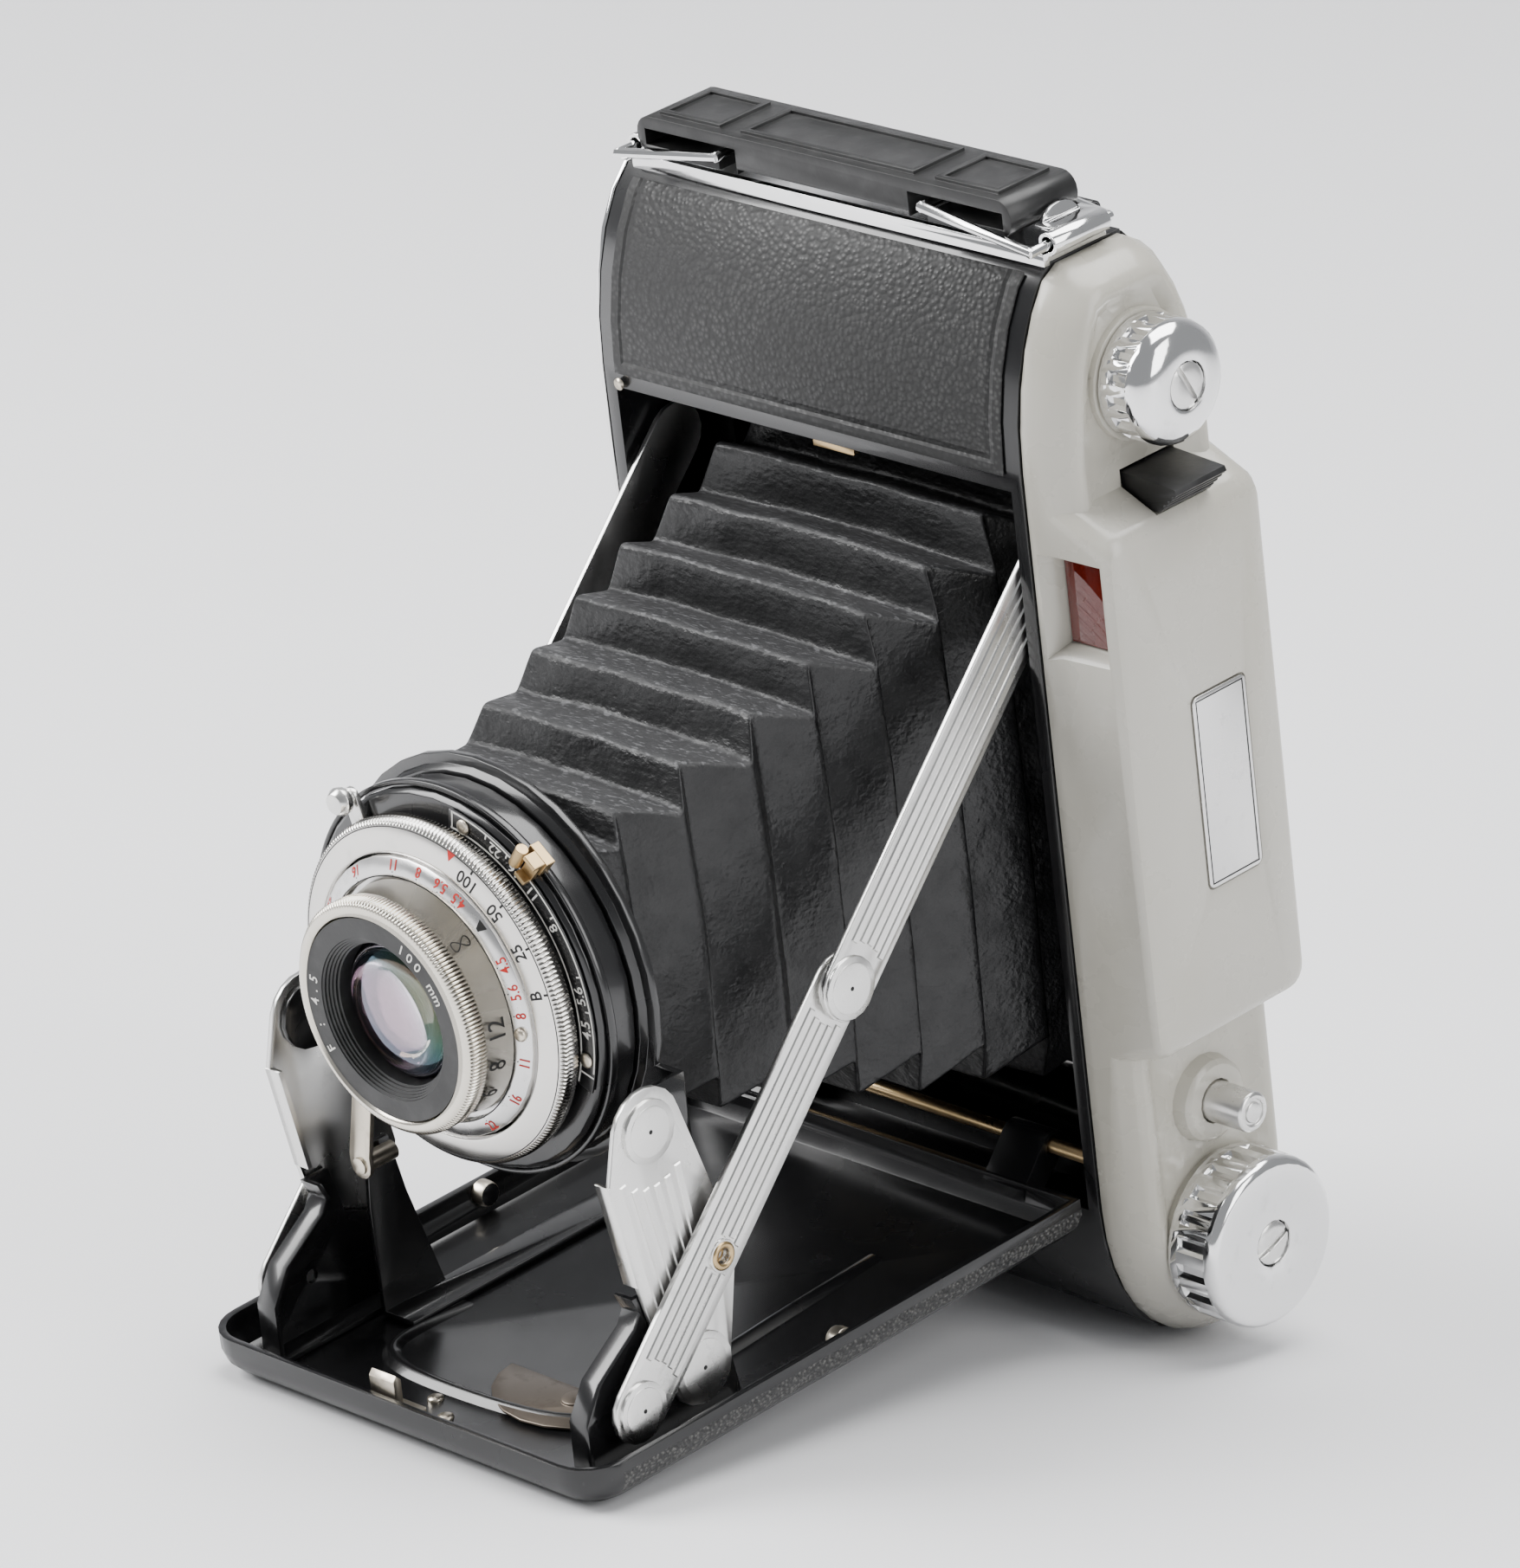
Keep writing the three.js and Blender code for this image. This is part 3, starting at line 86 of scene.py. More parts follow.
# ---------------------------------------------------------------- materials
class Nodes:
    """Short hand for building one material's node tree."""

    def __init__(self, name):
        self.material = bpy.data.materials.new(name)
        self.material.use_nodes = True
        self.tree = self.material.node_tree
        self.shader = self.tree.nodes["Principled BSDF"]
        self.place = self.tree.nodes.new("ShaderNodeMapping")
        self.place.inputs["Rotation"].default_value = (-LEAN, 0, 0)
        source = self.tree.nodes.new("ShaderNodeTexCoord")
        self.link(source.outputs["Object"], self.place.inputs["Vector"])

    def link(self, output, socket):
        self.tree.links.new(output, socket)

    def set(self, **values):
        for name, value in values.items():
            self.shader.inputs[name.replace("_", " ")].default_value = value
        return self

    def add(self, kind, **sockets):
        node = self.tree.nodes.new(kind)
        for name, value in sockets.items():
            socket = node.inputs[name.replace("_", " ")]
            if isinstance(value, bpy.types.NodeSocket):
                self.link(value, socket)
            else:
                socket.default_value = value
        return node

    def coordinates(self, stretch=(1, 1, 1)):
        node = self.add("ShaderNodeMapping", Vector=self.place.outputs["Vector"])
        node.inputs["Scale"].default_value = stretch
        return node.outputs["Vector"]

    def noise(self, scale, detail=3.0, stretch=(1, 1, 1), rough=0.5):
        node = self.add("ShaderNodeTexNoise", Vector=self.coordinates(stretch), Scale=scale,
                        Detail=detail, Roughness=rough)
        return node.outputs["Fac"]

    def cells(self, scale, stretch=(1, 1, 1), smooth=0.0):
        node = self.add("ShaderNodeTexVoronoi", Vector=self.coordinates(stretch), Scale=scale)
        if smooth:
            node.feature = "SMOOTH_F1"
            node.inputs["Smoothness"].default_value = smooth
        return node.outputs["Distance"]

    def ramp(self, value, low, high, at_low=0.0, at_high=1.0):
        node = self.add("ShaderNodeMapRange", Value=value)
        node.inputs["From Min"].default_value = low
        node.inputs["From Max"].default_value = high
        node.inputs["To Min"].default_value = at_low
        node.inputs["To Max"].default_value = at_high
        return node.outputs["Result"]

    def math(self, operation, first, second):
        node = self.tree.nodes.new("ShaderNodeMath")
        node.operation = operation
        for socket, value in zip(node.inputs, (first, second)):
            if isinstance(value, bpy.types.NodeSocket):
                self.link(value, socket)
            else:
                socket.default_value = value
        return node.outputs["Value"]

    def axis(self, name):
        """X, Y or Z along the camera's own axes, in metres; own_zero() says where it starts."""
        node = self.add("ShaderNodeSeparateXYZ", Vector=self.place.outputs["Vector"])
        return node.outputs[name]

    def mix(self, factor, first, second):
        node = self.tree.nodes.new("ShaderNodeMix")
        node.data_type = "RGBA"
        colours = [socket for socket in node.inputs if socket.type == "RGBA"]
        self.link(factor, node.inputs["Factor"])
        for socket, value in zip(colours, (first, second)):
            if isinstance(value, bpy.types.NodeSocket):
                self.link(value, socket)
            else:
                socket.default_value = (*value, 1)
        return next(socket for socket in node.outputs if socket.type == "RGBA")

    def colour(self, output):
        self.link(output, self.shader.inputs["Base Color"])
        return self

    def rough(self, output):
        self.link(output, self.shader.inputs["Roughness"])
        return self

    def bump(self, height, distance, strength=1.0):
        node = self.add("ShaderNodeBump", Height=height, Distance=distance * MM, Strength=strength)
        self.link(node.outputs["Normal"], self.shader.inputs["Normal"])
        return self


def enamel_material(name):
    """Stoved black enamel: glossy, faint orange peel, dust and fine rubs."""
    m = Nodes(name).set(Specular_IOR_Level=0.5, Coat_Weight=0.35, Coat_Roughness=0.08)
    dust = m.ramp(m.noise(420, 6, rough=0.7), 0.62, 0.8)
    m.colour(m.mix(dust, (0.006, 0.006, 0.0065), (0.03, 0.03, 0.03)))
    m.rough(m.ramp(m.noise(60, 4), 0.3, 0.75, 0.18, 0.36))
    m.bump(m.noise(900, 2), 0.02, 0.25)
    return m.material


def leather_material(name, grain, tone, depth):
    """Pebbled black leather; depth of the grain in millimetres."""
    m = Nodes(name).set(Specular_IOR_Level=0.45)
    pebbles = m.cells(grain, (1, 1, 1.15), 0.35)
    fine = m.noise(grain * 1.6, 3)
    height = m.math("ADD", m.math("MULTIPLY", pebbles, -1.0), m.math("MULTIPLY", fine, 0.35))
    crest = m.ramp(pebbles, 0.0, 0.5, 1.0, 0.0)
    worn = m.math("MULTIPLY", crest, m.ramp(m.noise(45, 3), 0.45, 0.7))
    m.colour(m.mix(worn, (tone * 0.6,) * 3, (tone * 2.4, tone * 2.4, tone * 2.3)))
    m.rough(m.ramp(pebbles, 0.0, 0.6, 0.42, 0.75))
    m.bump(height, depth)
    return m.material


def bed_tray_material():
    """Black enamel whose outer side walls are covered in leather below the rim."""
    zero = own_zero("bed_tray")
    m = Nodes("bed_enamel_and_leather").set(Specular_IOR_Level=0.5)
    out = m.math("ABSOLUTE", m.math("SUBTRACT", m.axis("X"), zero.x), 0.0)
    low = m.math("LESS_THAN", m.axis("Z"), zero.z + BED_LEATHER_TOP_Z * MM)
    behind = m.math("GREATER_THAN", m.axis("Y"), zero.y + BED_LEATHER_FRONT_Y * MM)
    side = m.math("GREATER_THAN", out, BED_LEATHER_X * MM)
    skin = m.math("MULTIPLY", m.math("MULTIPLY", low, behind), side)
    pebbles = m.cells(1500, (1, 1, 1.15), 0.35)
    dust = m.ramp(m.noise(420, 6, rough=0.7), 0.62, 0.8)
    paint = m.mix(dust, (0.006, 0.006, 0.0065), (0.03, 0.03, 0.03))
    hide = m.mix(m.ramp(pebbles, 0.0, 0.5, 1.0, 0.0), (0.014, 0.014, 0.014), (0.13, 0.128, 0.12))
    m.colour(m.mix(skin, paint, hide))
    gloss = m.ramp(m.noise(60, 4), 0.3, 0.75, 0.16, 0.32)
    m.rough(m.math("ADD", gloss, m.math("MULTIPLY", skin, 0.28)))
    m.bump(m.math("MULTIPLY", skin, m.math("MULTIPLY", pebbles, -1.0)), 0.5)
    return m.material


def front_leather_material():
    """Pebbled leather with a pressed line just inside its edges."""
    zero = own_zero("front_leather")
    m = Nodes("front_leather_sheet").set(Specular_IOR_Level=0.45)
    out = m.math("ABSOLUTE", m.math("SUBTRACT", m.axis("X"), zero.x), 0.0)
    edge = m.math("MINIMUM", m.math("SUBTRACT", SHEET_HALF_WIDTH * MM, out),
                  m.math("SUBTRACT", m.axis("Z"), zero.z + SHEET_FOOT_Z * MM))
    inside = m.ramp(edge, 1.5 * MM, 2.1 * MM)
    line = m.math("MULTIPLY", inside, m.ramp(edge, 2.1 * MM, 2.9 * MM, 1.0, 0.0))
    pebbles = m.cells(1150, (1, 1, 1.15), 0.35)
    grain = m.math("MULTIPLY", pebbles, m.ramp(edge, 1.6 * MM, 2.6 * MM, -0.25, -1.0))
    crest = m.math("MULTIPLY", m.ramp(pebbles, 0.0, 0.5, 1.0, 0.0),
                   m.ramp(m.noise(45, 3), 0.4, 0.7))
    m.colour(m.mix(crest, (0.012, 0.012, 0.012), (0.055, 0.055, 0.053)))
    m.rough(m.ramp(pebbles, 0.0, 0.6, 0.36, 0.62))
    m.bump(m.math("ADD", grain, m.math("MULTIPLY", line, -2.2)), 0.16)
    return m.material


def bellows_material():
    """Thin black leathercloth: glossy sides, and the faces that point up painted lighter, with
    light flecks, as painted light from above.
    """
    m = Nodes("bellows_leathercloth").set(Specular_IOR_Level=0.4)
    facing = m.add("ShaderNodeTexCoord")
    split = m.add("ShaderNodeSeparateXYZ", Vector=facing.outputs["Normal"])
    # painted light: faces that point up get a lighter colour with light flecks, as if lit from
    # above
    top = m.ramp(split.outputs["Z"], 0.3, 0.55)
    flecks = m.ramp(m.noise(1300, 2, (0.5, 1, 1), 0.6), 0.56, 0.66)
    rubbed = m.ramp(m.noise(90, 4), 0.35, 0.75)
    base = m.mix(rubbed, (0.005, 0.005, 0.0055), (0.012, 0.012, 0.0125))
    painted_lit_top = m.mix(m.math("MULTIPLY", flecks, 0.75), (0.02, 0.02, 0.021), (0.1, 0.1, 0.104))
    m.colour(m.mix(top, base, painted_lit_top))
    m.rough(m.math("ADD", m.ramp(m.noise(240, 4), 0.3, 0.7, 0.28, 0.5),
                   m.math("MULTIPLY", top, 0.18)))
    height = m.math("ADD", m.math("MULTIPLY", m.noise(1300, 3, (0.6, 1, 1)), 0.8),
                    m.math("MULTIPLY", m.noise(150, 4), 3.0))
    m.bump(height, 0.2)
    return m.material


def grey_shell_material():
    """Warm light-grey moulded shell, slightly yellowed with age."""
    m = Nodes("grey_shell_moulding").set(Specular_IOR_Level=0.5, Coat_Weight=0.25,
                                         Coat_Roughness=0.12)
    aged = m.ramp(m.noise(28, 4), 0.35, 0.75)
    clean = m.mix(aged, (0.42, 0.405, 0.36), (0.39, 0.37, 0.31))
    specks = m.ramp(m.noise(900, 3), 0.72, 0.78)
    m.colour(m.mix(m.math("MULTIPLY", specks, 0.35), clean, (0.2, 0.18, 0.14)))
    m.rough(m.ramp(m.noise(140, 5), 0.3, 0.7, 0.22, 0.36))
    m.bump(m.noise(55, 3), 0.12, 0.25)
    return m.material


def black_plastic_material():
    """Moulded black plastic, a little dusty."""
    m = Nodes("black_moulded_plastic").set(Specular_IOR_Level=0.45)
    dusty = m.ramp(m.noise(300, 6), 0.5, 0.75)
    m.colour(m.mix(dusty, (0.008, 0.008, 0.008), (0.02, 0.02, 0.02)))
    m.rough(m.ramp(m.noise(160, 4), 0.3, 0.7, 0.32, 0.5))
    m.bump(m.noise(1400, 2), 0.03, 0.5)
    return m.material


def metal_material(name, tone, rough, tarnish=None, lines=None, pits=0.35):
    """Plated or bare metal with rubs, optional tarnish colour and brushing direction."""
    m = Nodes(name).set(Metallic=1.0)
    spots = m.ramp(m.noise(260, 6, rough=0.65), 0.58, 0.76)
    stain = m.math("MULTIPLY", spots, pits)
    m.colour(m.mix(stain, tone, tarnish or tuple(c * 0.45 for c in tone)))
    smear = m.ramp(m.noise(70, 5), 0.3, 0.7, rough * 0.8, rough * 1.35)
    m.rough(m.math("ADD", smear, m.math("MULTIPLY", spots, 0.08)))
    if lines:
        m.bump(m.noise(2600, 2, lines), 0.012, 0.5)
    else:
        m.bump(m.noise(220, 3), 0.012, 0.3)
    return m.material


def knurled_material(name, tone, rough, teeth, twist, rim, rear):
    """Plated metal with painted shade in the gaps of its knurling.

    The knurling lies outside the radius rim and in front of y = rear (mm), and the painted
    shade leans by twist half pitches per millimetre.
    leans by twist half pitches per millimetre."""
    zero = own_zero()
    m = Nodes(name).set(Metallic=1.0)
    x = m.math("SUBTRACT", m.axis("X"), zero.x)
    z = m.math("SUBTRACT", m.axis("Z"), zero.z + LENS_Z * MM)
    y = m.math("SUBTRACT", m.axis("Y"), zero.y)
    square = m.math("ADD", m.math("MULTIPLY", x, x), m.math("MULTIPLY", z, z))
    reach = m.math("SQRT", square, 0.0)
    turn = m.math("MULTIPLY", m.math("ARCTAN2", z, x), float(teeth))
    lean = m.math("MULTIPLY", y, -math.pi * twist / MM)
    # painted shade: dark stripes where the knurling's gaps fall, leaning with the teeth
    gap_shade_stripes = m.ramp(m.math("COSINE", m.math("ADD", turn, lean), 0.0), 0.35, 0.95)
    outside = m.math("MULTIPLY", m.math("GREATER_THAN", reach, rim * MM),
                     m.math("LESS_THAN", y, rear * MM))
    painted_gap_shade = m.math("MULTIPLY", gap_shade_stripes, outside)
    stain = m.math("MULTIPLY", m.ramp(m.noise(260, 6, rough=0.65), 0.58, 0.76), 0.3)
    plated = m.mix(stain, tone, tuple(c * 0.45 for c in tone))
    # painted shade: the gaps of the knurling get a dark brownish colour
    m.colour(m.mix(painted_gap_shade, plated, (0.05, 0.045, 0.035)))
    m.rough(m.ramp(m.noise(70, 5), 0.3, 0.7, rough * 0.8, rough * 1.3))
    m.bump(m.noise(220, 3), 0.012, 0.3)
    return m.material


def glass_material(name, tint, film, transmission):
    """Coated lens glass: faint dust on a clear body with a thin-film sheen."""
    m = Nodes(name).set(IOR=1.52, Transmission_Weight=transmission, Thin_Film_Thickness=film,
                        Thin_Film_IOR=1.38, Coat_Weight=0.6, Coat_Roughness=0.02)
    dust = m.ramp(m.noise(1200, 6), 0.66, 0.8)
    m.colour(m.mix(m.math("MULTIPLY", dust, 0.2), tint, (0.6, 0.6, 0.6)))
    m.rough(m.ramp(m.noise(90, 3), 0.3, 0.7, 0.01, 0.04))
    return m.material


def paint_material(name, tone):
    """Filled engraving on the dials."""
    m = Nodes(name).set(Specular_IOR_Level=0.3)
    m.colour(m.mix(m.ramp(m.noise(1500, 3), 0.4, 0.7), tone, tuple(c * 0.8 for c in tone)))
    m.rough(m.ramp(m.noise(800, 2), 0.3, 0.7, 0.45, 0.6))
    return m.material


SPEED_TEETH = 240
FOCUS_TEETH = 180

ENAMEL = enamel_material("black_enamel_paint")
LEATHER = leather_material("body_leather", 1250, 0.02, 0.14)
SMOOTH_LEATHER = leather_material("bed_leather_grain", 1700, 0.02, 0.1)
BELLOWS = bellows_material()
GREY = grey_shell_material()
PLASTIC = black_plastic_material()
BED_FINISH = bed_tray_material()
SHEET_LEATHER = front_leather_material()
CHROME = metal_material("bright_chrome_plate", (0.83, 0.83, 0.83), 0.09)
SATIN = metal_material("satin_chrome_plate", (0.72, 0.715, 0.7), 0.26, lines=(0.15, 1, 1))
DIAL = metal_material("dial_chrome", (0.7, 0.695, 0.69), 0.24)
SPEED_KNURL = knurled_material("knurled_dial_chrome", (0.72, 0.7, 0.67), 0.2,
                               SPEED_TEETH, 0.27, 24.7, -78.9)
FOCUS_KNURL = knurled_material("knurled_warm_nickel", (0.68, 0.64, 0.56), 0.2,
                               FOCUS_TEETH, 0.0, 16.75, -87.9)
BRASS = metal_material("tarnished_brass", (0.5, 0.36, 0.19), 0.28, (0.16, 0.1, 0.05), pits=0.7)
NICKEL = metal_material("aged_nickel", (0.66, 0.6, 0.5), 0.3, (0.3, 0.24, 0.17), pits=0.6)
STEEL = metal_material("plain_steel", (0.42, 0.41, 0.4), 0.34, (0.16, 0.12, 0.09))
SPRING_STEEL = metal_material("browned_spring_steel", (0.2, 0.17, 0.14), 0.34,
                              (0.07, 0.05, 0.04))
LENS_GLASS = glass_material("coated_lens_glass", (0.93, 0.86, 0.95), 420.0, 1.0)
COATING = metal_material("inner_coated_surface", (0.4, 0.29, 0.34), 0.07, (0.3, 0.2, 0.28),
                         pits=0.1)
RED_GLASS = glass_material("dark_red_glass", (0.16, 0.012, 0.006), 0.0, 0.55)
BLACK_INK = paint_material("black_dial_fill", (0.01, 0.01, 0.01))
RED_INK = paint_material("red_dial_fill", (0.5, 0.02, 0.015))
WHITE_INK = paint_material("white_dial_fill", (0.72, 0.71, 0.67))

NODE_MATERIALS = {
    "body_shell": ENAMEL, "side_trim": CHROME, "back_cover": LEATHER, "back_hinge_pin": STEEL,
    "back_latch": SATIN, "pressure_plate": STEEL, "counter_window": RED_GLASS,
    "window_slide": ENAMEL, "film_gate": ENAMEL, "film_guide_lower": STEEL,
    "film_guide_upper": STEEL, "takeup_spool": ENAMEL, "supply_spool": ENAMEL,
    "side_housing": GREY, "viewfinder_front_lens": RED_GLASS, "viewfinder_rear_lens": LENS_GLASS,
    "nameplate": DIAL, "winding_knob": CHROME, "winding_knob_screw": SATIN,
    "winding_shaft": STEEL, "supply_knob": CHROME, "supply_knob_screw": SATIN,
    "supply_shaft": STEEL, "bed_release_plunger": SATIN, "release_key": PLASTIC,
    "handle_base": CHROME, "handle_grip": PLASTIC, "handle_link_left": CHROME,
    "handle_link_right": CHROME, "bed_tray": BED_FINISH, "bed_leather": SMOOTH_LEATHER,
    "bed_hinge_pin": BRASS, "bed_catch": NICKEL, "bed_spring_leaf": SPRING_STEEL,
    "release_link": ENAMEL, "bed_latch": BRASS, "strut_bracket_left": ENAMEL,
    "strut_bracket_right": ENAMEL, "upper_strut_left": SATIN, "upper_strut_right": SATIN,
    "lower_strut_left": SATIN, "lower_strut_right": SATIN, "rocker_arm_left": SATIN,
    "rocker_arm_right": SATIN, "lens_standard": ENAMEL, "shutter_housing": ENAMEL,
    "shutter_blades": STEEL, "aperture_scale": ENAMEL, "aperture_ring": BRASS,
    "speed_ring": DIAL, "shutter_front": DIAL, "cocking_lever": SATIN, "release_lever": NICKEL,
    "focus_ring": DIAL, "name_ring": ENAMEL, "front_glass": LENS_GLASS,
    "rear_lens_cell": ENAMEL, "rear_glass": LENS_GLASS, "bellows": BELLOWS,
    "front_leather": SHEET_LEATHER,
}

# radii of the rounded edges, millimetres
PLAIN_EDGE = 0.12
SOFT_EDGES = {"side_housing": 0.5, "handle_grip": 0.35, "release_key": 0.3, "bed_tray": 0.3}
ROUNDED_FROM = math.radians(32)  # edges that bend by less stay as they are


def soften(obj, width):
    """Rounds the sharp edges and shades the rest smoothly."""
    weld = obj.modifiers.new("weld", "WELD")
    weld.merge_threshold = 0.003 * MM
    for polygon in obj.data.polygons:
        polygon.use_smooth = True
    bevel = obj.modifiers.new("edges", "BEVEL")
    bevel.width = width * MM
    bevel.segments = 2
    bevel.limit_method = "ANGLE"
    bevel.angle_limit = ROUNDED_FROM
    bevel.use_clamp_overlap = True
    bevel.harden_normals = True


for node_name, node in nodes.items():
    node.data.materials.clear()
    node.data.materials.append(NODE_MATERIALS[node_name])
    soften(node, SOFT_EDGES.get(node_name, PLAIN_EDGE))


# ---------------------------------------------------------------- pieces
def piece(name, points, faces, material, body, slot, stands_for=(), smooth=True, edge=0.0):
    """A mesh given in the camera's millimetres, riding on a CAD body."""
    mesh = bpy.data.meshes.new(name)
    mesh.from_pydata([at(*point) for point in points], [], faces)
    mesh.validate()
    shape = bmesh.new()
    shape.from_mesh(mesh)
    bmesh.ops.recalc_face_normals(shape, faces=shape.faces)
    shape.to_mesh(mesh)
    shape.free()
    mesh.materials.append(material)
    obj = bpy.data.objects.new(name, mesh)
    bpy.context.scene.collection.objects.link(obj)
    for polygon in mesh.polygons:
        polygon.use_smooth = smooth
    if edge:
        soften(obj, edge)
    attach(obj, body)
    if stands_for:
        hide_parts(*stands_for)
    return obj


def ring_faces(count, loops, closed_loops=False):
    """Quads between successive loops of equally many points."""
    faces = []
    last = loops if closed_loops else loops - 1
    for level in range(last):
        nxt = (level + 1) % loops
        for i in range(count):
            j = (i + 1) % count
            faces.append((level * count + i, level * count + j, nxt * count + j, nxt * count + i))
    return faces


def polar(radius, degrees):
    """x and z of a point round the lens axis: 0 degrees is along x, 90 degrees up the body."""
    angle = math.radians(degrees)
    return radius * math.cos(angle), LENS_Z + radius * math.sin(angle)


def tube(path, radius, sides=10, closed=False):
    """Points and faces of a round wire along a path of points."""
    path = [Vector(p) for p in path]
    count = len(path)
    points, normal = [], None
    for i, centre in enumerate(path):
        ahead = path[(i + 1) % count] if closed or i + 1 < count else path[i]
        behind = path[i - 1] if closed or i else path[i]
        along = (ahead - behind).normalized()
        if normal is None:
            normal = along.orthogonal().normalized()
        normal = (normal - along * normal.dot(along)).normalized()
        across = along.cross(normal)
        for k in range(sides):
            angle = 2 * math.pi * k / sides
            points.append(centre + (normal * math.cos(angle) + across * math.sin(angle)) * radius)
    faces = ring_faces(sides, count, closed)
    if not closed:
        faces.append(tuple(reversed(range(sides))))
        faces.append(tuple(range((count - 1) * sides, count * sides)))
    return points, faces


def merge(parts):
    """Several (points, faces) as one."""
    points, faces = [], []
    for part_points, part_faces in parts:
        base = len(points)
        points += list(part_points)
        faces += [tuple(i + base for i in face) for face in part_faces]
    return points, faces


def revolved(profile, steps, teeth=0):
    """A closed profile of (radius, y, tooth depth, tooth turn) turned about the lens axis."""
    points = []
    for radius, y, *tooth in profile:
        depth, turn = tooth or (0.0, 0.0)
        for i in range(steps):
            wave = math.cos(2 * math.pi * (teeth * i / steps + turn))
            x, z = polar(radius - depth * (0.5 + 0.5 * wave) ** 2, 360 * i / steps)
            points.append((x, y, z))
    return points, ring_faces(steps, len(profile), True)


def domed(profile, steps, x0=0.0, z0=LENS_Z):
    """A profile of (radius, y) turned about (x0, z0) and closed at both ends."""
    points = []
    for radius, y in profile:
        for i in range(steps):
            x, z = polar(radius, 360 * i / steps)
            points.append((x + x0, y, z - LENS_Z + z0))
    last = (len(profile) - 1) * steps
    ends = [tuple(range(steps)), tuple(range(last, last + steps))]
    return points, ring_faces(steps, len(profile)) + ends


def cap(radius, x0, x1, y, z, steps):
    """A round disc lying across the camera, from x0 to a slightly smaller face at x1."""
    points = []
    for r, x in ((radius, x0), (radius, x0 + (x1 - x0) * 0.6), (radius * 0.9, x1)):
        for i in range(steps):
            angle = 2 * math.pi * i / steps
            points.append((x, y + r * math.cos(angle), z + r * math.sin(angle)))
    faces = ring_faces(steps, 3) + [tuple(range(2 * steps, 3 * steps)),
                                    tuple(reversed(range(steps)))]
    return points, faces


RIB_BEVEL = 0.16


def rib(x0, x1, start, end, half_width):
    """A flat-topped raised bar between two (y, z) points, standing from x0 to x1."""
    a, b = Vector(start), Vector(end)
    along = (b - a).normalized()
    across = Vector((-along.y, along.x))
    points = []
    for x, inset in ((x0, 0.0), (x1, RIB_BEVEL)):
        for end_point, sign in ((a + along * inset, -1), (b - along * inset, 1)):
            for flip in (sign, -sign):
                y, z = end_point + across * flip * (half_width - inset)
                points.append((x, y, z))
    faces = [(0, 1, 2, 3), (4, 5, 6, 7)] + [(i, (i + 1) % 4, 4 + (i + 1) % 4, 4 + i)
                                            for i in range(4)]
    return points, faces


# how far the filled figures stand off a dial's face and off the focus barrel
INK_LIFT = 0.04
BARREL_INK_LIFT = 0.05


def glyphs(text, size, weight):
    """Flat polygons of a line of text about its middle."""
    curve = bpy.data.curves.new("glyphs", "FONT")
    curve.body, curve.size, curve.offset = text, size, weight
    curve.align_x, curve.align_y = "CENTER", "CENTER"
    curve.resolution_u = 3
    holder = bpy.data.objects.new("glyphs", curve)
    bpy.context.scene.collection.objects.link(holder)
    bpy.context.view_layer.update()
    mesh = bpy.data.meshes.new_from_object(
        holder.evaluated_get(bpy.context.evaluated_depsgraph_get()))
    flat = [tuple(v.co.xy) for v in mesh.vertices], [tuple(f.vertices) for f in mesh.polygons]
    bpy.data.objects.remove(holder)
    bpy.data.curves.remove(curve)
    return flat


def on_face(flat, radius, degrees, height, top=-1):
    """Lays a flat figure on a dial face, its top inwards or outwards (top = 1)."""
    points, faces = flat
    placed = []
    for u, v in points:
        r = radius + top * v
        x, z = polar(r, degrees - top * math.degrees(u / radius))
        placed.append((x, height(r) - INK_LIFT, z))
    return placed, faces


def on_barrel(flat, degrees, middle_y, radius_at):
    """Lays a flat figure round the focus barrel, its top towards the front."""
    points, faces = flat
    placed = []
    for u, v in points:
        y = middle_y - v
        r = radius_at(y)
        x, z = polar(r + BARREL_INK_LIFT, degrees + math.degrees(u / r))
        placed.append((x, y, z))
    return placed, faces


def stroke(half_width, v0, v1):
    """A short flat line, pointing at the middle of its dial."""
    corners = [(-half_width, v0), (half_width, v0), (half_width, v1), (-half_width, v1)]
    return corners, [(0, 1, 2, 3)]


def arc_line(radius, width, start, end, y):
    """A flat line along an arc of a dial, with a point every 3 degrees."""
    count = round((end - start) / 3) + 1
    points = []
    for i in range(count):
        degrees = start + (end - start) * i / (count - 1)
        for r in (radius, radius + width):
            x, z = polar(r, degrees)
            points.append((x, y - INK_LIFT, z))
    return points, [(2 * i, 2 * i + 1, 2 * i + 3, 2 * i + 2) for i in range(count - 1)]


# ---------------------------------------------------------------- shutter and lens
# profiles of (radius, y), with (tooth depth, tooth turn) added where the ring is knurled
SCALE_Y = -77.9
NAME_Y = -91.4
SPEED_RING = [(21.0, -78.8), (24.9, -78.8), (25.4, -79.1, 0.5, 0.0), (25.5, -80.2, 0.55, 0.3),
              (25.4, -81.3, 0.5, 0.6), (25.1, -81.65, 0.25, 0.7), (24.75, -81.8),
              (24.5, -81.95), (21.5, -82.8), (21.0, -82.8)]
FOCUS_RING = [(11.6, -83.0), (17.2, -83.0), (16.2, -87.7), (16.7, -87.9), (17.25, -88.2, 0.4, 0),
              (17.25, -89.4, 0.4, 0), (17.25, -90.5, 0.4, 0), (16.9, -90.9, 0.15, 0),
              (16.6, -91.1), (15.2, -91.7), (15.2, -90.2), (11.6, -88.7)]
NAME_RING = [(14.9, -90.5), (14.9, NAME_Y), (11.95, NAME_Y), (11.9, -91.2), (11.6, -91.1),
             (11.6, -90.8), (11.3, -90.7), (11.3, -90.4), (11.0, -90.3), (11.0, -90.0),
             (10.7, -89.9), (10.7, -89.5), (10.45, -89.4), (10.4, -87.0), (11.2, -87.0),
             (11.2, -89.4)]
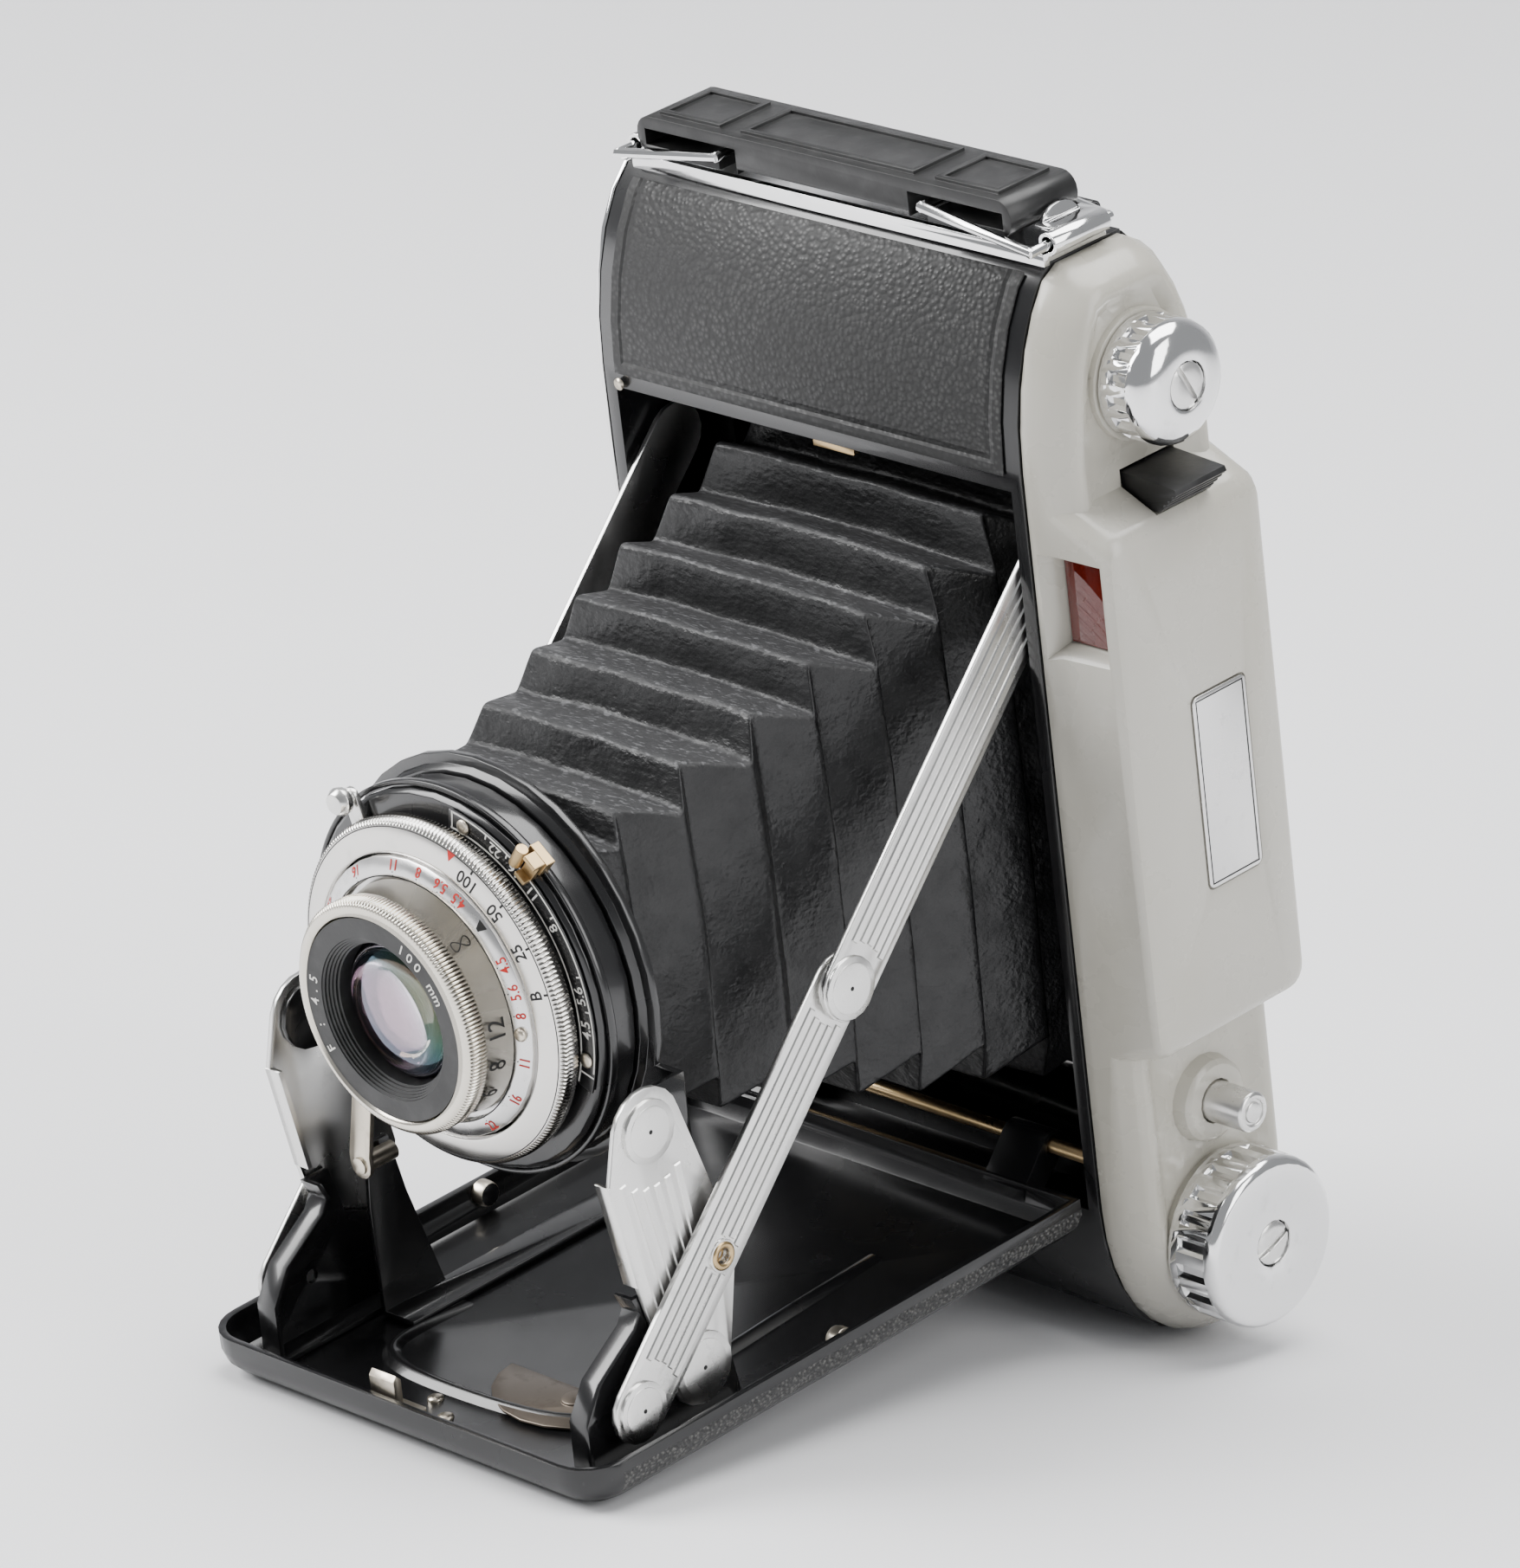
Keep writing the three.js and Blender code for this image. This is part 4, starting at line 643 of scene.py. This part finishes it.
LETTER_PITCH = 7.4  # degrees


def speed_face(radius):
    """The conical face of the speed ring."""
    return -82.8 + (radius - 21.5) * 0.85 / 3.0


def depth_face(radius):
    """The face inside it, flat as far as radius 18.6 and then falling away."""
    return -84.0 + max(0.0, radius - 18.6) * 0.5


def barrel_radius(y):
    """The tapered barrel of the focus ring."""
    return 17.2 + (y + 83.0) / 4.7


def name_face(_radius):
    """The flat front of the name ring."""
    return NAME_Y


def scale_face(_radius):
    """The flat face of the aperture scale plate."""
    return SCALE_Y


def make_shutter():
    """Speed ring with its figures, and the red depth figures round the lens barrel."""
    piece("knurled_speed_ring", *revolved(SPEED_RING, 7 * SPEED_TEETH, SPEED_TEETH), SPEED_KNURL,
          "speed", "bright_chrome", ["speed_ring"])
    numbers = [on_face(glyphs(text, 2.5, 0.03), 22.7, degrees, speed_face)
               for text, degrees in (("100", 61), ("50", 46), ("25", 30), ("B", 14))]
    ticks = [on_face(stroke(0.16, -0.3, 0.3), 24.15, degrees, speed_face)
             for degrees in (61, 46, 30, 14)]
    rim = arc_line(24.4, 0.16, 0, 360, -81.95)
    piece("speed_numbers", *merge(numbers + ticks + [rim]), BLACK_INK, "speed", "black_enamel",
          smooth=False)
    mark = [(-0.75, -0.7), (0.75, -0.7), (0, 0.7)], [(0, 1, 2)]
    piece("speed_index", *on_face(mark, 23.9, 71, speed_face), RED_INK, "speed", "black_enamel",
          smooth=False)

    depth = ((60, "4.5"), (70.5, "5.6"), (83, "8"), (97.5, "11"), (122.7, "16"), (150, "22"),
             (28.4, "4.5"), (16.6, "5.6"), (6.7, "8"), (-14.6, "11"), (-35, "16"), (-57.9, "22"))
    figures = [on_face(glyphs(text, 1.95, 0.02), 19.7, degrees, depth_face)
               for degrees, text in depth]
    piece("depth_numbers", *merge(figures), RED_INK, "standard", "black_enamel", smooth=False)
    ticks = [on_face(stroke(0.1, -0.35, 0.45), 18.45, degrees, depth_face)
             for degrees, _ in depth]
    pointer = [(-0.8, -0.9), (0.8, -0.9), (0, 0.9)], [(0, 1, 2)]
    ring = arc_line(18.0, 0.16, 0, 360, -84.0)
    piece("depth_marks", *merge(ticks + [ring, on_face(pointer, 19.3, 46, depth_face)]), BLACK_INK,
          "standard", "black_enamel", smooth=False)

    screw_x, screw_z = polar(19.3, -1.2)
    dome = [(1.0, -83.6), (1.0, -84.0), (0.8, -84.3), (0.4, -84.45)]
    piece("depth_ring_screw", *domed(dome, 20, screw_x, screw_z), NICKEL, "standard", "nickel")


def make_scale_plate():
    """White figures, border and screws on the black aperture scale."""
    figures = ((62, "22"), (53, "16"), (44, "11"), (32, "8"), (10, "5.6"), (-1, "4.5"))
    marks = [on_face(glyphs(text, 2.3, 0.03), 26.05, degrees, scale_face)
             for degrees, text in figures]
    marks += [on_face(stroke(0.12, -0.4, 0.4), 26.75, degrees + 1.2 + 1.6 * len(text), scale_face)
              for degrees, text in figures]
    marks += [arc_line(27.08, 0.28, -15, 80, SCALE_Y), arc_line(24.6, 0.3, -21, 81, SCALE_Y)]
    marks += [on_face(stroke(0.13, -1.35, 1.35), 26.0, degrees, scale_face)
              for degrees in (-16.5, 80.4)]
    piece("aperture_figures", *merge(marks), WHITE_INK, "standard", "black_enamel", smooth=False)
    heads = []
    for degrees in (75.5, -11.5):
        x0, z0 = polar(25.8, degrees)
        head = [(1.15, SCALE_Y - 0.05), (1.1, SCALE_Y - 0.3), (0.8, SCALE_Y - 0.4)]
        heads.append(domed(head, 18, x0, z0))
    piece("scale_plate_screws", *merge(heads), NICKEL, "standard", "nickel")


def dial_block(r0, r1, start, end, y0, y1):
    """A block between two radii, two angles and two depths."""
    corners = [polar(r, a) for r, a in ((r0, start), (r0, end), (r1, end), (r1, start))]
    points = [(x, y, z) for y in (y0, y1) for x, z in corners]
    faces = [(0, 1, 2, 3), (7, 6, 5, 4)] + [(i, 4 + i, 4 + (i + 1) % 4, (i + 1) % 4)
                                            for i in range(4)]
    return points, faces


def make_aperture_ring():
    """Black ring round the shutter, and its brass pointer with a grip."""
    band = [(28.3, -76.3), (28.3, -75.1), (28.9, -75.1), (29.0, -75.3), (29.0, -76.2),
            (28.9, -76.3)]
    piece("aperture_ring_band", *revolved(band, 120), ENAMEL, "aperture", "black_enamel")
    grip = [(x, -78.3, z) for x, z in (polar(r, 53.5) for r in (27.6, 30.9))]
    parts = [dial_block(28.2, 31.0, 46.5, 53.5, -77.0, -75.3),
             dial_block(26.8, 31.0, 47, 51.5, -77.9, -77.0),
             dial_block(30.4, 31.1, 47, 51.5, -79.1, -77.0),
             dial_block(26.8, 27.5, 47, 51.5, -79.1, -77.0), tube(grip, 0.95, 14)]
    piece("aperture_pointer", *merge(parts), BRASS, "aperture", "brass", ["aperture_ring"],
          smooth=False, edge=0.15)


def make_lens():
    """Focus ring, name ring and the two glass surfaces behind it."""
    piece("knurled_focus_ring", *revolved(FOCUS_RING, 7 * FOCUS_TEETH, FOCUS_TEETH), FOCUS_KNURL,
          "focus", "satin_chrome", ["focus_ring"])
    figures = [on_barrel(glyphs(text, 3.6, 0.03), degrees, -85.5, barrel_radius)
               for degrees, text in ((1, "12"), (-18, "8"), (-37, "6"), (-58, "5"))]
    infinity = [(1.35 * math.sin(t), 0.75 * math.sin(2 * t), 0.0)
                for t in (2 * math.pi * i / 28 for i in range(28))]
    points, faces = tube(infinity, 0.11, 4, closed=True)
    figures.append(on_barrel(([(p.y, p.x) for p in points], faces), 46, -85.6, barrel_radius))
    piece("focus_figures", *merge(figures), BLACK_INK, "focus", "black_enamel", smooth=False)

    piece("threaded_name_ring", *revolved(NAME_RING, 96), PLASTIC, "focus", "black_enamel",
          ["name_ring"], edge=0.04)
    words = []
    for text, centre in (("100 mm", 45), ("F : 4.5", 190)):
        for i, letter in enumerate(text):
            if letter != " ":
                degrees = centre - (i - (len(text) - 1) / 2) * LETTER_PITCH
                words.append(on_face(glyphs(letter, 2.2, 0.02), 13.4, degrees, name_face, 1))
    piece("name_ring_figures", *merge(words), WHITE_INK, "focus", "black_enamel", smooth=False)

    front = [(0.4, -90.3), (3.0, -90.15), (5.5, -89.75), (7.5, -89.15), (9.2, -88.35),
             (10.2, -87.6), (10.2, -86.2), (5.0, -85.6), (0.4, -85.5)]
    piece("front_element", *domed(front, 72), LENS_GLASS, "focus", "lens_glass", ["front_glass"])
    inner = [(0.3, -85.3), (3.0, -85.2), (6.0, -84.8), (8.6, -84.1), (9.9, -83.6), (9.9, -83.2)]
    piece("inner_coated_element", *domed(inner, 72), COATING, "focus", "lens_glass")


make_shutter()
make_scale_plate()
make_aperture_ring()
make_lens()

# ---------------------------------------------------------------- struts
# pivots as (y, z), and the x of the outer faces on either side
BED_PIVOT = (-85.8, 3.1)
ELBOW = (-40.1, 48.1)
ROCKER_PIVOT = (-72.5, 3.3)
STANDARD_PIVOT = (-76.9, 41.2)
EYELET = (-67.9, 18.8)
UPPER_FACE_X = 37.8
LOWER_FACE_X = 36.1
ROCKER_FACE_X = 34.4
RIB_PITCH = 1.55
RIB_HALF_WIDTH = 0.6
RIB_HEIGHT = 0.25
EYELET_CLEAR = 2.7


def strut_ribs(side, face, start, end, start_clear, end_clear, hole=None):
    """Five ribs along a strut, their ends on arcs round the discs, broken at the eyelet."""
    a, b = Vector(start), Vector(end)
    length = (b - a).length
    along = (b - a).normalized()
    across = Vector((-along.y, along.x))
    ribs = []
    for i in range(-2, 3):
        offset = i * RIB_PITCH
        base = a + across * offset
        first = math.sqrt(start_clear ** 2 - offset ** 2)
        last = length - math.sqrt(end_clear ** 2 - offset ** 2)
        spans = [(first, last)]
        if hole:
            away = Vector(hole) - base
            miss = away.dot(across)
            if abs(miss) < EYELET_CLEAR:
                half = math.sqrt(EYELET_CLEAR ** 2 - miss ** 2)
                spans = [(first, away.dot(along) - half), (away.dot(along) + half, last)]
        ribs += [rib(side * face, side * (face + RIB_HEIGHT), base + along * low,
                     base + along * high, RIB_HALF_WIDTH)
                 for low, high in spans if high > low]
    return ribs


def make_strut_details(name, side):
    """Ribs, capped pivots and the brass eyelet of one side's linkage."""
    top_pivot = TO_ROW.inverted() @ Vector(joints[f"upper_strut_{name}_turn"]["pos_m"])
    piece(f"upper_strut_{name}_ribs",
          *merge(strut_ribs(side, UPPER_FACE_X, ELBOW, top_pivot.yz, 6.4, 5.5)),
          SATIN, f"upper_{name}", "satin_chrome", smooth=False)
    piece(f"lower_strut_{name}_ribs",
          *merge(strut_ribs(side, LOWER_FACE_X, BED_PIVOT, ELBOW, 7.0, 5.8, EYELET)),
          SATIN, f"lower_{name}", "satin_chrome", smooth=False)

    fan = []
    for i in range(6):
        top_y = -82.6 + i * 2.05
        rise = math.sqrt(max(0.0, 8.2 ** 2 - (top_y - STANDARD_PIVOT[0]) ** 2))
        fan.append(rib(side * ROCKER_FACE_X, side * (ROCKER_FACE_X + RIB_HEIGHT),
                       (-78.4 + i * 1.75, 13.5), (top_y, STANDARD_PIVOT[1] - rise),
                       RIB_HALF_WIDTH))
    piece(f"rocker_{name}_ribs", *merge(fan), SATIN, f"rocker_{name}", "satin_chrome", smooth=False)

    discs = [(f"upper_{name}", ELBOW, 4.6, 38.3), (f"lower_{name}", BED_PIVOT, 4.2, 36.7),
             (f"rocker_{name}", STANDARD_PIVOT, 4.6, 35.0),
             (f"rocker_{name}", ROCKER_PIVOT, 5.2, 35.0)]
    for i, (body, (y, z), radius, face) in enumerate(discs):
        rim = cap(radius * 0.8, side * (face - 0.05), side * (face + 0.14), y, z, 32)
        piece(f"{body}_disc_{i}", *rim, SATIN, body, "satin_chrome", edge=0.05)
        # painted shade: a small black disc stands for the shade in the dimple at each pivot's
        # middle
        piece(f"{body}_dimple_shade_disc_{i}", *cap(0.36, side * face, side * (face + 0.17), y, z, 12),
              BLACK_INK, body, "black_enamel")

    lining = []
    for r, depth in ((1.2, 34.85), (1.2, 36.7), (1.75, 36.75), (2.1, 36.55), (2.0, 36.3)):
        lining.append([(side * depth, EYELET[0] + r * math.cos(a), EYELET[1] + r * math.sin(a))
                       for a in (2 * math.pi * k / 24 for k in range(24))])
    piece(f"eyelet_{name}", [p for loop in lining for p in loop], ring_faces(24, len(lining)),
          BRASS, f"lower_{name}", "brass")


for side_name, side_sign in (("left", -1), ("right", 1)):
    make_strut_details(side_name, side_sign)


# ---------------------------------------------------------------- bed and body details
BED_FLOOR_Z = -5.6
# across the pressed ridge: (offset from its middle line, height over the floor, further height
# that is less at its two ends)
RIDGE_SECTION = [(-1.6, -0.15, 0.0), (-1.0, 0.0, 0.4), (-0.3, 0.0, 0.85), (0.3, 0.0, 0.85),
                 (1.0, 0.0, 0.4), (1.6, -0.15, 0.0)]


def raised_panel():
    """Pressed panel on the floor of the bed: a ridge round three sides, open to the rear."""
    path = [(19.5, -24), (20.4, -40), (21.6, -58), (22.6, -72), (20.8, -80.5), (14, -84.4),
            (0, -85.4), (-12, -85.4), (-19, -83.6), (-21.4, -78.5), (-20.4, -66)]
    loops = []
    for i, (x, y) in enumerate(path):
        before, after = Vector(path[max(0, i - 1)]), Vector(path[min(len(path) - 1, i + 1)])
        along = (after - before).normalized()
        across = Vector((-along.y, along.x))
        taper = 0.25 if i in (0, len(path) - 1) else 1.0
        loops.append([(x + across.x * w, y + across.y * w, BED_FLOOR_Z + base + rise * taper)
                      for w, base, rise in RIDGE_SECTION])
    count = len(loops[0])
    faces = [(level * count + i, level * count + i + 1, (level + 1) * count + i + 1,
              (level + 1) * count + i) for level in range(len(loops) - 1) for i in range(count - 1)]
    return [p for loop in loops for p in loop], faces


def stud(x, y, z, radius, height):
    """A domed rivet head standing up from a floor."""
    steps = 20
    points = []
    for r, rise in ((radius, 0.0), (radius * 0.97, height * 0.5), (radius * 0.7, height * 0.85),
                    (radius * 0.3, height)):
        points += [(x + r * math.cos(a), y + r * math.sin(a), z + rise)
                   for a in (2 * math.pi * k / steps for k in range(steps))]
    return points, ring_faces(steps, 4) + [tuple(range(3 * steps, 4 * steps))]


def make_bed_details():
    """Pressed ridge, rivets and stud caps of the bed, and the rivet on the body's front."""
    panel = piece("bed_pressed_panel", *raised_panel(), ENAMEL, "bed", "black_enamel")
    panel.modifiers.new("round", "SUBSURF").render_levels = 2
    places = ((-2.6, -93.4), (1.8, -91.6), (-3.4, -88.6), (34.5, -58.0))
    rivets = [stud(x, y, BED_FLOOR_Z - 0.1, 1.2, 0.6) for x, y in places]
    piece("bed_rivets", *merge(rivets), NICKEL, "bed", "nickel")
    for name, sign, y in (("left", -1, -45.5), ("right", 1, -49.6)):
        piece(f"bed_side_stud_{name}", *cap(1.95, sign * 38.7, sign * 36.6, y, -2.0, 20), NICKEL,
              "bed", "nickel", edge=0.1)
    flat = [(x, -0.45 - 0.25 * rise, 107.6 + dz) for rise in (0, 1)
            for x, dz in ((-37.4 + 0.9 * math.cos(a), 0.9 * math.sin(a))
                          for a in (2 * math.pi * k / 16 for k in range(16)))]
    piece("body_front_rivet", flat, ring_faces(16, 2) + [tuple(range(16, 32))], NICKEL,
          "camera_body", "nickel")


def make_nameplate_border():
    """A thin dark line just inside the blank nameplate's edge."""
    y0, y1, z0, z1 = 14.2, 25.0, 44.9, 73.9
    loops = []
    for inset in (0.55, 0.75):
        corners = [(y0 + inset, z0 + inset), (y1 - inset, z0 + inset),
                   (y1 - inset, z1 - inset), (y0 + inset, z1 - inset)]
        loops += [(55.13, y, z) for y, z in corners]
    piece("nameplate_border", loops, ring_faces(4, 2), BLACK_INK, "camera_body", "black_enamel",
          smooth=False)


make_bed_details()
make_nameplate_border()

# ---------------------------------------------------------------- bellows
BELLOWS_REAR_Y = 21.9
BELLOWS_FRONT_Y = -67.7
# stations from rear to front: (y, half width, half height) where the top stands up,
# and where it dips and the sides stand out
FOLD_RIDGES = [(17.0, 27.2, 46.8), (6.3, 25.9, 43.8), (-4.4, 25.0, 39.9), (-15.9, 24.0, 36.9),
               (-26.6, 22.7, 33.2), (-37.1, 21.4, 29.4), (-49.2, 19.2, 26.3), (-60.0, 17.2, 22.9)]
FOLD_VALLEYS = [(15.2, 30.4, 38.9), (4.8, 29.3, 35.6), (-6.4, 28.2, 32.2), (-17.4, 26.6, 29.2),
                (-28.4, 25.0, 26.2), (-39.7, 23.4, 22.9), (-51.6, 21.6, 20.0), (-62.2, 19.6, 18.4)]
EDGE_STEPS = 14
CORNER_TUCK = 0.9


def bellows_loop(y, half_width, half_height, stands_up):
    """One rectangular loop of cloth; its standing edges bow out a little."""
    corners = [(half_width, half_height), (-half_width, half_height),
               (-half_width, -half_height), (half_width, -half_height)]
    loop = []
    for side, (x0, z0) in enumerate(corners):
        x1, z1 = corners[(side + 1) % 4]
        level = side in (0, 2)
        length = math.hypot(x1 - x0, z1 - z0)
        for step in range(EDGE_STEPS):
            share = step / EDGE_STEPS
            if step == 1:
                share = CORNER_TUCK / length
            if step == EDGE_STEPS - 1:
                share = 1 - CORNER_TUCK / length
            middle = 4 * share * (1 - share)
            bow = (0.45 if level == stands_up else -0.5) * middle
            x = x0 + (x1 - x0) * share + (0 if level else math.copysign(bow, x0))
            z = z0 + (z1 - z0) * share + (math.copysign(bow, z0) if level else 0)
            slip = noise.noise((x * 0.11, y * 0.7, z * 0.11)) * 0.55
            sag = -0.5 * middle if level and stands_up else 0.35 * middle
            loop.append((x, y + slip + sag * 0.6, LENS_Z + z + slip * 0.4))
    return loop


def make_bellows():
    loops = [bellows_loop(BELLOWS_REAR_Y - 0.2, 31.0, 48.5, True)]
    for ridge, valley in zip(FOLD_RIDGES, FOLD_VALLEYS):
        for (y, w, h), up in ((ridge, True), (valley, False)):
            crease = 0.16 if up else 0.3
            loops.append(bellows_loop(y + crease, w, h - (0.12 if up else -0.12), up))
            loops.append(bellows_loop(y - crease, w, h - (0.12 if up else -0.12), up))
    loops.append(bellows_loop(BELLOWS_FRONT_Y + 0.3, 19.2, 20.5, True))
    count = 4 * EDGE_STEPS
    points = [p for loop in loops for p in loop]
    obj = piece("bellows_cloth", points, ring_faces(count, len(loops)), BELLOWS,
                "camera_body", "bellows_cloth", ["bellows"])
    subdivide = obj.modifiers.new("soften", "SUBSURF")
    subdivide.levels = 2
    subdivide.render_levels = 2
    thick = obj.modifiers.new("thickness", "SOLIDIFY")
    thick.thickness = 0.35 * MM
    thick.offset = 0
    return obj


bellows = make_bellows()
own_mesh(bellows)

# ---------------------------------------------------------------- studio
# the photograph's viewpoint, fitted to it outside this script: degrees, metres and, for the
# lens, millimetres
PHOTO_AZIMUTH = 44.588
PHOTO_ELEVATION = 16.54
PHOTO_ROLL = 1.35
PHOTO_DISTANCE = 1.2662
PHOTO_LENS = 209.13
TARGET = Vector((-0.0004, -0.0006, 0.0845))


def make_camera():
    """The camera, at the photograph's viewpoint."""
    data = bpy.data.cameras.new("photo_camera")
    data.sensor_width = 36
    data.lens = PHOTO_LENS
    data.clip_end = 50
    camera = bpy.data.objects.new("photo_camera", data)
    bpy.context.scene.collection.objects.link(camera)
    azimuth, elevation = math.radians(PHOTO_AZIMUTH), math.radians(PHOTO_ELEVATION)
    outward = Vector((math.sin(azimuth) * math.cos(elevation),
                      -math.cos(azimuth) * math.cos(elevation), math.sin(elevation)))
    camera.location = TARGET + outward * PHOTO_DISTANCE
    turn = (-outward).to_track_quat("-Z", "Y").to_matrix().to_4x4()
    roll = Matrix.Rotation(math.radians(PHOTO_ROLL), 4, "Z")
    camera.matrix_world = Matrix.Translation(camera.location) @ turn @ roll
    bpy.context.scene.camera = camera


def make_light(name, place, aim, size, power):
    data = bpy.data.lights.new(name, "AREA")
    data.shape = "RECTANGLE"
    data.size, data.size_y = size
    data.energy = power
    light = bpy.data.objects.new(name, data)
    bpy.context.scene.collection.objects.link(light)
    light.location = place
    light.rotation_euler = (Vector(aim) - Vector(place)).to_track_quat("-Z", "Y").to_euler()


def make_studio():
    """A pale floor that curves up behind the object, an even sky and three soft boxes."""
    floor = Nodes("studio_floor").set(Specular_IOR_Level=0.25)
    floor.colour(floor.mix(floor.noise(3, 2), (0.76, 0.76, 0.775), (0.79, 0.79, 0.8)))
    floor.rough(floor.ramp(floor.noise(20, 2), 0.3, 0.7, 0.6, 0.7))
    mesh = bpy.data.meshes.new("studio_floor")
    half, rise, bend = 3.0, 3.0, 12
    rows = [(-half, 0.0)] + [
        (1.4 + 0.9 * math.sin(math.pi / 2 * i / bend), 0.9 - 0.9 * math.cos(math.pi / 2 * i / bend))
        for i in range(bend + 1)] + [(2.3, rise)]
    turn = Matrix.Rotation(math.radians(PHOTO_AZIMUTH), 3, "Z")
    points = [turn @ Vector((x, y, z)) for y, z in rows for x in (-half, half)]
    faces = [(2 * i, 2 * i + 1, 2 * i + 3, 2 * i + 2) for i in range(len(rows) - 1)]
    mesh.from_pydata(points, [], faces)
    for polygon in mesh.polygons:
        polygon.use_smooth = True
    mesh.materials.append(floor.material)
    obj = bpy.data.objects.new("studio_floor", mesh)
    bpy.context.scene.collection.objects.link(obj)
    world = bpy.data.worlds.new("studio")
    world.use_nodes = True
    world.node_tree.nodes["Background"].inputs["Color"].default_value = (0.9, 0.92, 0.95, 1)
    world.node_tree.nodes["Background"].inputs["Strength"].default_value = 0.4
    bpy.context.scene.world = world
    make_light("key_light", (-1.1, -0.9, 1.1), (0, 0, 0.08), (1.1, 1.1), 56)
    make_light("side_light", (1.3, 0.1, 0.7), (0, 0, 0.09), (0.7, 1.1), 13)
    make_light("top_light", (0.1, 0.3, 1.6), (0, 0, 0.1), (1.3, 1.3), 44)


make_camera()
make_studio()
